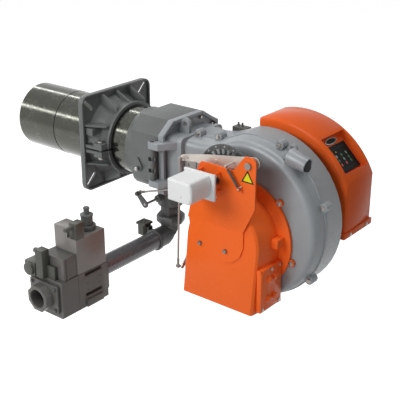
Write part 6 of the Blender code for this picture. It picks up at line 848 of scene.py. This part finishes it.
@dataclass
class ReturnSpring:
    """Coil spring between the bracket's pin and the follower's pin."""

    foot: Point = (0.664, -0.203, 0.026)
    head: Point = (0.620, -0.203, 0.082)
    coil: float = 3.1 * MM
    wire: float = 0.8 * MM
    turns: float = 34.0
    margin: float = 0.10
    stem_share: float = 1.3
    hook: float = 3.2 * MM
    hook_sides: int = 8
    hook_steps: int = 20
    stem_sides: int = 10
    hook_shift: float = 0.3
    sharp: float = math.radians(50.0)
    face: float = -0.1915
    pin: float = 2.0 * MM
    pin_sides: int = 24
    pin_foot: float = 5.5 * MM
    pin_foot_height: float = 1.2 * MM
    pin_head: float = 3.4 * MM
    pin_neck: float = 1.5 * MM
    pin_head_height: float = 2.5 * MM
    pin_crown: float = 0.6 * MM
    pin_crown_share: float = 0.8

    def build(self) -> None:
        """Wind the coil, bend its two end hooks and set the pin of its foot."""
        start = Vector(self.foot)
        run = Vector(self.head) - start
        length = run.length * (1.0 - 2.0 * self.margin)
        turn = run.to_track_quat("Z", "Y").to_matrix().to_4x4()
        seed = points_object("return_spring", [(0.0, 0.0, 0.0)])
        values = {"Turns": self.turns, "Coil radius": self.coil, "Length": length, "Wire radius": self.wire,
                  "Material": DARK_STEEL.material()}
        piece = grown(seed, spring_tree(), values, Matrix.Translation(start + run * self.margin) @ turn)
        self.add_hooks(piece, start, run)
        wear(piece, DARK_STEEL)
        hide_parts("follower_spring")
        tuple(self.foot)
        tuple(self.head)
        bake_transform(piece)
        log.info("return_spring bends between swing and follower")
        self.set_pin()

    def add_hooks(self, piece: Thing, start: Vector, run: Vector) -> None:
        """Add the straight stem and the round hook at both ends.

        Args:
            piece: The wound coil.
            start: Place of the spring's foot.
            run: Way from the foot to the head.
        """
        shape = bmesh.new()
        shape.from_mesh(piece.data)
        way = run.normalized()
        stem = self.wire * self.stem_share
        section = []
        for step in range(self.hook_sides):
            angle = math.tau * step / self.hook_sides
            section.append((self.wire * math.sin(angle), self.hook + self.wire * math.cos(angle)))
        for end, inward in ((start, way), (start + run, -way)):
            turned(shape, [(0.0, stem), (run.length * self.margin, stem)], tuple(end), tuple(inward),
                   self.stem_sides)
            centre = tuple(end - inward * self.hook_shift * self.hook)
            turned(shape, section, centre, ALONG_Y, self.hook_steps, True)
        shape.to_mesh(piece.data)
        shape.free()
        piece.data.shade_smooth()
        piece.data.set_sharp_from_angle(angle=self.sharp)

    def set_pin(self) -> None:
        """Turn the pin on the bracket that holds the spring's foot."""
        shape = bmesh.new()
        neck = self.face - self.foot[1] + self.pin_neck
        top = neck + self.pin_head_height
        profile = [(0.0, self.pin_foot), (self.pin_foot_height, self.pin_foot),
                   (self.pin_foot_height, self.pin), (neck, self.pin), (neck, self.pin_head),
                   (top, self.pin_head), (top + self.pin_crown, self.pin_crown_share * self.pin_head)]
        turned(shape, profile, (self.foot[0], self.face, self.foot[2]), (0.0, -1.0, 0.0), self.pin_sides)
        settle(link_mesh("spring_foot_pin", shape), "swing", BRIGHT, "servo_bracket")


@dataclass
class Console:
    """Operating panel, badge field and trim of the console."""

    centre: Flat = (0.598, -0.125)
    angle: float = math.radians(45.5)
    floor: float = 0.2438
    shift: float = 0.010
    front: float = 0.104
    back: float = 0.213
    length: float = 0.090
    thickness: float = 3.0 * MM
    soft_share: float = 0.3
    soft_angle: float = math.radians(30.0)
    keys: tuple[tuple[float, float, Finish], ...] = (
        (0.254, 0.400, PALE), (0.254, 0.560, GREEN), (0.254, 0.720, RED),
        (0.500, 0.400, GREEN), (0.500, 0.560, PALE_GREEN), (0.500, 0.715, RED),
        (0.746, 0.394, PALE_GREEN), (0.746, 0.560, GREEN), (0.746, 0.705, GREEN))
    key_half: Flat = (4.0 * MM, 5.2 * MM)
    key_steps: int = 16
    key_rise: float = 0.8 * MM
    line_downs: Flat = (0.13, 0.87)
    line_ends: Flat = (0.10, 0.90)
    line_share: float = 0.008
    line_rise: float = 0.15 * MM
    ready_place: Flat = (0.357, 0.246)
    ready_half: Flat = (2.2 * MM, 2.2 * MM)
    ready_rise: float = 0.4 * MM
    ready_steps: int = 12
    badge_place: Flat = (0.48, -0.158)
    badge_half: Flat = (31.0 * MM, 10.0 * MM)
    badge_rim: Flat = (3.2 * MM, 2.0 * MM)
    badge_rise: float = 3.0 * MM
    field_rise: float = 0.5 * MM
    badge_pinch: float = 1.25
    badge_steps: int = 32

    def point(self, across: float, down: float, lift: float) -> Point:
        """Point of the panel's plane.

        Args:
            across: Share of the panel's width, from its front.
            down: Share of the panel's length, from its top.
            lift: Height above the recess's floor in metres.

        Returns:
            The point.
        """
        slope = Vector((math.sin(self.angle), 0.0, -math.cos(self.angle)))
        base = Vector((self.centre[0], self.front + across * (self.back - self.front), self.centre[1]))
        down_slope = slope * (self.shift + (down - 0.5) * self.length)
        return tuple(base + self.raised(self.floor + lift) + down_slope)

    def raised(self, height: float) -> Vector:
        """Offset of a height square to the panel."""
        return Vector((math.cos(self.angle), 0.0, math.sin(self.angle))) * height

    def add(self, shape: Shape, outline: Sequence[Flat], lift: float, rise: float) -> None:
        """Add a plate on the panel's plane to a working mesh."""
        slab(shape, [self.point(*corner, lift) for corner in outline], tuple(self.raised(rise)))

    def tile(self, name: str, outline: Sequence[Flat], lift: float, rise: float, finish: Finish, slot: str,
             stands_for: Sequence[str] = ()) -> None:
        """Plate on the panel's plane.

        Args:
            name: Name of the piece.
            outline: Corners as shares of the panel.
            lift: Height of its underside above the recess's floor.
            rise: Thickness.
            finish: Finish.
            slot: Material slot.
            stands_for: Nodes that it replaces.
        """
        shape = bmesh.new()
        self.add(shape, outline, lift, rise)
        piece = link_mesh(name, shape)
        soften_edges(piece, self.soft_share * rise, self.soft_angle)
        settle(piece, "swing", finish, slot, stands_for)

    def oval(self, middle: Flat, half: Flat, steps: int, pinch: float = 1.0) -> list[Flat]:
        """Oval outline in shares of the panel.

        Args:
            middle: Centre as shares.
            half: Half sizes in metres, across and down.
            steps: Number of corners.
            pinch: Power that sharpens the ends.

        Returns:
            The outline.
        """
        points = []
        for step in range(steps):
            angle = math.tau * step / steps
            across = half[0] * math.cos(angle) / (self.back - self.front)
            down = half[1] * math.copysign(abs(math.sin(angle)) ** pinch, math.sin(angle)) / self.length
            points.append((middle[0] + across, middle[1] + down))
        return points

    def build(self) -> None:
        """Build the panel, its lamps and keys, and the bare badge."""
        node = "display_panel"
        top = self.thickness
        whole = [(0.0, 0.0), (1.0, 0.0), (1.0, 1.0), (0.0, 1.0)]
        self.tile("operating_panel", whole, 0.0, top, FOIL, node, (node,))
        left, right = self.line_ends
        for number, down in enumerate(self.line_downs, 1):
            low = down + self.line_share
            outline = [(left, down), (right, down), (right, low), (left, low)]
            self.tile(f"panel_line_{number}", outline, top, self.line_rise, LINE, node)
        for finish in (PALE, GREEN, PALE_GREEN, RED):
            shape = bmesh.new()
            for across, down, colour in self.keys:
                if colour is finish:
                    outline = self.oval((across, down), self.key_half, self.key_steps)
                    self.add(shape, outline, top, self.key_rise)
            settle(link_mesh(f"panel_{finish.name}s", shape), "swing", finish, node)
        mark = self.oval(self.ready_place, self.ready_half, self.ready_steps)
        self.tile("panel_ready_mark", mark, top, self.ready_rise, YELLOW, node)
        rise = self.badge_rise
        rim = self.oval(self.badge_place, self.badge_half, self.badge_steps, self.badge_pinch)
        self.tile("badge_rim", rim, 0.0, rise, BRIGHT, "control_cover")
        half = (self.badge_half[0] - self.badge_rim[0], self.badge_half[1] - self.badge_rim[1])
        field = self.oval(self.badge_place, half, self.badge_steps, self.badge_pinch)
        self.tile("badge_field", field, rise, self.field_rise, FOIL, "control_cover")


@dataclass
class CautionPlate:
    """Bare yellow triangle on the servo bracket."""

    corners: Flats = ((0.6844, 0.0837), (0.6634, 0.0469), (0.7068, 0.0460))
    face: float = -0.19205
    sheet: float = 0.35 * MM
    rim: float = 0.16

    def build(self) -> None:
        """Build the black triangle and the smaller yellow one on it."""
        middle = [sum(corner[axis] for corner in self.corners) / len(self.corners) for axis in (0, 1)]
        layers = (("caution_plate_edge", 1.0, BLACK_EDGE),
                  ("caution_plate_field", 1.0 - 2.0 * self.rim, YELLOW))
        for number, (name, share, finish) in enumerate(layers):
            shape = bmesh.new()
            face = self.face - number * self.sheet
            outline = []
            for corner in self.corners:
                across, up = (middle[axis] + (corner[axis] - middle[axis]) * share for axis in (0, 1))
                outline.append((across, face, up))
            slab(shape, outline, (0.0, -self.sheet, 0.0))
            settle(link_mesh(name, shape, False), "swing", finish, "servo_bracket")


@dataclass
class GasTrainTrim:
    """Joint lines of the gas valve, dark discs of painted shade in its small holes, and the ribbed coil
    block.
    """

    face: float = 0.308
    line: float = 0.5 * MM
    proud: float = 0.12 * MM
    joint: Point = (-0.4846, -0.352, -0.2404)
    seam: Point = (-0.5465, -0.3675, -0.2403)
    shaded_hole_places: Flats = ((-0.4000, -0.2735), (-0.4000, -0.2945), (-0.4480, -0.2790), (-0.4480, -0.3000))
    hole: float = 1.7 * MM
    hole_sides: int = 14
    sunk: float = 0.5 * MM
    coil_low: Point = (0.219, -0.536, -0.2397)
    coil_high: Point = (0.3055, -0.4848, -0.1725)
    ribs: Flats = ((-0.5355, -0.5290), (-0.5245, -0.5165))
    rib_root: float = 1.0 * MM
    rib_reach: float = 2.0 * MM
    rib_drop: float = 1.5 * MM
    edge: float = 0.9 * MM

    def build(self) -> None:
        """Build the lines, the painted shade of the holes and the coil block."""
        shape = bmesh.new()
        front = self.face + self.proud
        place, low, high = self.joint
        block(shape, (self.face, place, low), (front, place + self.line, high))
        first, last, level = self.seam
        block(shape, (self.face, first, level - self.line), (front, last, level))
        # Dark seal discs at the holes: painted shade standing in for the hollow of each hole.
        hole_shade_disc = [(-self.sunk, self.hole), (self.proud, self.hole)]
        for along, up in self.shaded_hole_places:
            turned(shape, hole_shade_disc, (self.face, along, up), ALONG_X, self.hole_sides)
        settle(link_mesh("valve_joint_lines", shape), "head", SEAL, "gas_valve_body")
        shape = bmesh.new()
        block(shape, self.coil_low, self.coil_high)
        right, _, top = self.coil_high
        for start, end in self.ribs:
            low_corner = (right - self.rib_root, start, self.coil_low[2])
            block(shape, low_corner, (right + self.rib_reach, end, top - self.rib_drop))
        piece = link_mesh("low_coil_block", shape)
        soften_edges(piece, self.edge)
        settle(piece, "head", VALVE, "low_solenoid", ("low_solenoid",))


@dataclass
class Regulator:
    """Fluted pressure regulator with its set-screw head on the tall coil, its profile in mm."""

    place: Flat = (0.2705, -0.4035)
    floor: float = -0.1307
    flutes: int = 14
    flute_steps: int = 4
    profile: Flats = (
        (0.0, 25.5), (12.5, 25.5), (14.0, 24.0), (14.0, 17.6), (40.0, 17.2), (40.6, 19.0), (45.0, 19.0),
        (47.5, 13.0), (48.0, 8.2), (60.0, 8.2), (61.0, 9.4), (65.5, 9.4), (67.0, 7.6))
    fluted: tuple[int, ...] = (3, 4)
    flute_depth: float = 1.4

    def build(self) -> None:
        """Turn the profile and press the flutes into its barrel."""
        shape = bmesh.new()
        sides = self.flutes * self.flute_steps
        rings = []
        for number, (up, radius) in enumerate(self.profile):
            depth = self.flute_depth if number in self.fluted else 0.0
            ring = []
            for step in range(sides):
                angle = math.tau * step / sides
                reach = (radius - depth * (0.5 - 0.5 * math.cos(self.flutes * angle))) * MM
                across = self.place[0] + reach * math.cos(angle)
                along = self.place[1] + reach * math.sin(angle)
                ring.append(shape.verts.new((across, along, self.floor + up * MM)))
            rings.append(ring)
        stitch(shape, rings)
        settle(link_mesh("fluted_regulator", shape), "head", IRON, "regulator", ("regulator",))


@dataclass
class TubeSeam:
    """Dark seam line of the blast tube."""

    radius: float = 110.3 * MM
    proud: float = 0.35 * MM
    width: float = 2.6 * MM
    place: float = -0.1795
    sides: int = 96

    def build(self) -> None:
        """Wrap a thin band round the tube."""
        shape = bmesh.new()
        low, high = self.radius - self.proud, self.radius + self.proud
        band = [(0.0, low), (0.0, high), (self.width, high), (self.width, low)]
        turned(shape, band, (self.place - 0.5 * self.width, 0.0, 0.0), ALONG_X, self.sides, True)
        settle(link_mesh("tube_seam_line", shape), "head", SEAL, "blast_tube")


@dataclass
class SightWindow:
    """Dark glass in the end of the sight tube."""

    end: Point = (0.787, -0.0525, 0.080)
    tilt: float = math.radians(12.0)
    radius: float = 19.2 * MM
    inside: float = 7.0 * MM
    proud: float = 0.8 * MM
    lens_shares: Flats = ((0.0, 0.95), (0.4, 0.93), (1.0, 0.5))
    root_share: float = 0.9
    sides: int = 40

    def build(self) -> None:
        """Turn the lens."""
        axis = (math.cos(self.tilt), 0.0, math.sin(self.tilt))
        shape = bmesh.new()
        lens = [(along * self.proud, reach * self.radius) for along, reach in self.lens_shares]
        turned(shape, [(-self.inside, self.root_share * self.radius), *lens], self.end, axis, self.sides)
        settle(link_mesh("sight_window", shape), "swing", SMOKE, "sight_glass", ("sight_glass",))


@dataclass
class ServoPlates:
    """Layered mounting plates and the coupling behind the servo, each layer with its inset in mm."""

    low: Flat = (0.505, -0.011)
    high: Flat = (0.613, 0.067)
    centre: Flat = (0.577, 0.030)
    layers: tuple[Point, ...] = ((-0.2457, -0.2422, 0.0), (-0.2424, -0.2411, 2.4), (-0.2413, -0.2383, 0.6),
                                 (-0.2385, -0.2369, 3.0))
    overlap: float = 0.2 * MM
    post: float = 5.0 * MM
    post_sides: int = 20
    post_inset: float = 9.0 * MM
    coupling: float = 23.0 * MM
    coupling_sides: int = 40
    back: float = -0.2307
    edge: float = 0.5 * MM

    def build(self) -> None:
        """Stack the plates, then the posts and the dark coupling."""
        shape = bmesh.new()
        for start, end, inset in self.layers:
            left, bottom = (value + inset * MM for value in self.low)
            right, top = (value - inset * MM for value in self.high)
            block(shape, (left, start, bottom), (right, end, top))
        start = self.layers[-1][1] - self.overlap
        run = self.back - start
        for across in (self.low[0] + self.post_inset, self.high[0] - self.post_inset):
            for up in (self.low[1] + self.post_inset, self.high[1] - self.post_inset):
                turned(shape, [(0.0, self.post), (run, self.post)], (across, start, up), ALONG_Y,
                       self.post_sides)
        piece = link_mesh("servo_plates", shape)
        soften_edges(piece, self.edge)
        settle(piece, "swing", WHITE, "servo_plate", ("servo_plate",))
        shape = bmesh.new()
        middle = (self.centre[0], start, self.centre[1])
        drum = [(0.0, self.coupling), (run, self.coupling)]
        turned(shape, drum, middle, ALONG_Y, self.coupling_sides)
        settle(link_mesh("servo_coupling", shape), "swing", SEAL, "servo_plate")


@dataclass
class GasSwitch:
    """Pressure switch beside the elbow, on its bracket arm."""

    low: Point = (0.166, -0.086, -0.292)
    high: Point = (0.204, -0.048, -0.257)
    lid: float = 7.0 * MM
    corner: float = 8.0 * MM
    rim: float = 0.4 * MM
    overlap: float = 0.2 * MM
    pins: Flats = ((0.178, -0.074), (0.186, -0.064))
    pin: float = 1.5 * MM
    pin_sides: int = 12
    pin_height: float = 6.0 * MM
    pin_tip: float = 0.5 * MM
    pin_tip_share: float = 0.6
    arm: tuple[Point, Point] = ((0.199, -0.076, -0.280), (0.2115, -0.056, -0.262))
    edge: float = 0.8 * MM

    def build(self) -> None:
        """Build the cup, its lid with two pins, and the arm to the elbow."""
        shape = bmesh.new()
        left, front, bottom = self.low
        right, back, top = self.high
        cut = self.corner
        outline = [(left + cut, front), (right - cut, front), (right, front + cut), (right, back - cut),
                   (right - cut, back), (left + cut, back), (left, back - cut), (left, front + cut)]
        slab(shape, [(*corner, bottom) for corner in outline], (0.0, 0.0, top - bottom))
        rim, lid_top = self.rim, top + self.lid
        block(shape, (left - rim, front - rim, top - self.overlap), (right + rim, back + rim, lid_top))
        tip = (self.pin_height + self.pin_tip, self.pin_tip_share * self.pin)
        for place in self.pins:
            profile = [(-self.overlap, self.pin), (self.pin_height, self.pin), tip]
            turned(shape, profile, (*place, lid_top), ALONG_Z, self.pin_sides)
        block(shape, *self.arm)
        piece = link_mesh("gas_switch_housing", shape)
        soften_edges(piece, self.edge)
        settle(piece, "head", BLACK, "gas_pressure_switch", ("gas_pressure_switch",))


@dataclass
class SeamBead:
    """Raised casting bead along the fan housing's bolted seam."""

    centre: Flat = (0.598, -0.125)
    along: float = -0.0335
    radius: float = 248.0 * MM
    bead: float = 2.2 * MM
    span: Flat = (33.0, -88.0)
    steps: int = 60

    def build(self) -> None:
        """Sweep a small round profile along the seam."""
        first, last = self.span
        places = []
        for step in range(self.steps + 1):
            angle = math.radians(first + (last - first) * step / self.steps)
            across = self.centre[0] + self.radius * math.cos(angle)
            places.append((across, self.along, self.centre[1] + self.radius * math.sin(angle)))
        values = {"Bead radius": self.bead, "Material": LIGHT_CASTING.material()}
        piece = grown(points_object("seam_bead", places, True), bead_tree(), values)
        settle(piece, "swing", LIGHT_CASTING, "fan_housing_front")


@dataclass
class Studio:
    """Camera, lamps, backdrop and floor."""

    eye: Point = (1.96847, -1.99976, 0.92234)
    look: Point = (-0.5771, 0.7199, -0.3857)
    lens: float = 78.826
    sensor: float = 36.0
    near: float = 0.05
    far: float = 200.0
    floor_level: float = -0.62
    floor_half: float = 30.0
    floor_roughness: float = 0.95
    sky: float = 0.24
    floor_shade: float = 0.55
    floor_glow: float = 0.84
    lamps: tuple[tuple[str, Point, Point, float, float, float], ...] = (
        ("key", (-0.4, -3.3, 1.8), (0.35, -0.1, -0.1), 1.4, 1.1, 62.0),
        ("front", (1.0, -3.4, 0.3), (0.4, -0.1, -0.1), 1.2, 1.0, 16.0),
        ("top", (0.3, 0.3, 3.0), (0.3, 0.0, 0.0), 2.6, 0.5, 36.0),
        ("low_stripe", (-2.35, -1.79, 1.28), (-0.1, -0.1, 0.05), 2.6, 0.30, 20.0),
        ("high_stripe", (-2.35, 1.01, 1.82), (-0.1, -0.1, 0.05), 2.6, 0.20, 18.0),
    )

    def camera(self) -> None:
        """Set up the camera of the picture."""
        data = bpy.data.cameras.new("picture_camera")
        data.lens = self.lens
        data.sensor_width = self.sensor
        data.clip_start = self.near
        data.clip_end = self.far
        made = placed("picture_camera", data)
        made.location = self.eye
        made.rotation_euler = Vector(self.look).to_track_quat("-Z", "Y").to_euler()
        bpy.context.scene.camera = made

    def light(self) -> None:
        """Set up the area lamps, their long side along the blast tube."""
        for name, place, aim, length, width, power in self.lamps:
            data = bpy.data.lights.new(name + "_lamp", "AREA")
            data.shape = "RECTANGLE"
            data.size = length
            data.size_y = width
            data.energy = power
            back = (Vector(place) - Vector(aim)).normalized()
            side = (Vector(ALONG_X) - back * back.x).normalized()
            turn = Matrix((side, back.cross(side), back)).transposed()
            placed(name + "_lamp", data).matrix_world = Matrix.Translation(place) @ turn.to_4x4()

    def seen_white(self, wiring: Wiring) -> Socket:
        """Factor that is 1 for camera, mirror and glass rays, in a material or the world."""
        path = wiring.node("ShaderNodeLightPath").outputs
        sharp = wiring.calc("MAXIMUM", path["Is Camera Ray"], path["Is Glossy Ray"])
        return wiring.calc("MAXIMUM", sharp, path["Is Transmission Ray"])

    def world(self) -> None:
        """Set up an even pale world that is white where it is seen."""
        world = bpy.data.worlds.new("studio")
        bpy.context.scene.world = world
        world.use_nodes = True
        wiring = Wiring(world.node_tree)
        back = wiring.tree.nodes["Background"].inputs
        back["Color"].default_value = (1.0, 1.0, 1.0, 1.0)
        level = {"Value": self.seen_white(wiring), "To Min": self.sky, "To Max": 1.0}
        wiring.link(wiring.out("ShaderNodeMapRange", "Result", level), back["Strength"])

    def floor(self) -> None:
        """Lay the plain pale floor, which glows white where it is seen."""
        mesh = bpy.data.meshes.new("studio_floor")
        half, level = self.floor_half, self.floor_level
        places = [(-half, -half, level), (half, -half, level), (half, half, level), (-half, half, level)]
        mesh.from_pydata(places, [], [(0, 1, 2, 3)])
        recipe = Recipe("studio_floor")
        shade = self.floor_shade
        recipe.settings({"Base Color": (shade, shade, shade, 1.0), "Roughness": self.floor_roughness,
                         "Specular IOR Level": 0.0})
        strength = recipe.calc("MULTIPLY", self.seen_white(recipe), self.floor_glow)
        glow = recipe.out("ShaderNodeEmission", "Emission", {"Strength": strength})
        both = recipe.out("ShaderNodeAddShader", "Shader", {0: recipe.shader.outputs["BSDF"], 1: glow})
        recipe.link(both, recipe.tree.nodes["Material Output"].inputs["Surface"])
        mesh.materials.append(recipe.material)
        made = placed("studio_floor", mesh)

    def build(self) -> None:
        """Set the whole studio."""
        bpy.context.scene.view_settings.view_transform = "Standard"
        self.camera()
        self.light()
        self.world()
        self.floor()


def main() -> None:
    """Build the studio and every sub-assembly in order."""
    logging.basicConfig(level=logging.INFO, format="%(message)s")
    for part in (Studio(), CadDress(), Fasteners(), ReturnSpring(), Console(), CautionPlate(), GasTrainTrim(),
                 Regulator(), TubeSeam(), SightWindow(), ServoPlates(), GasSwitch(), SeamBead()):
        part.build()
    bpy.context.view_layer.update()


if __name__ == "__main__":
    main()
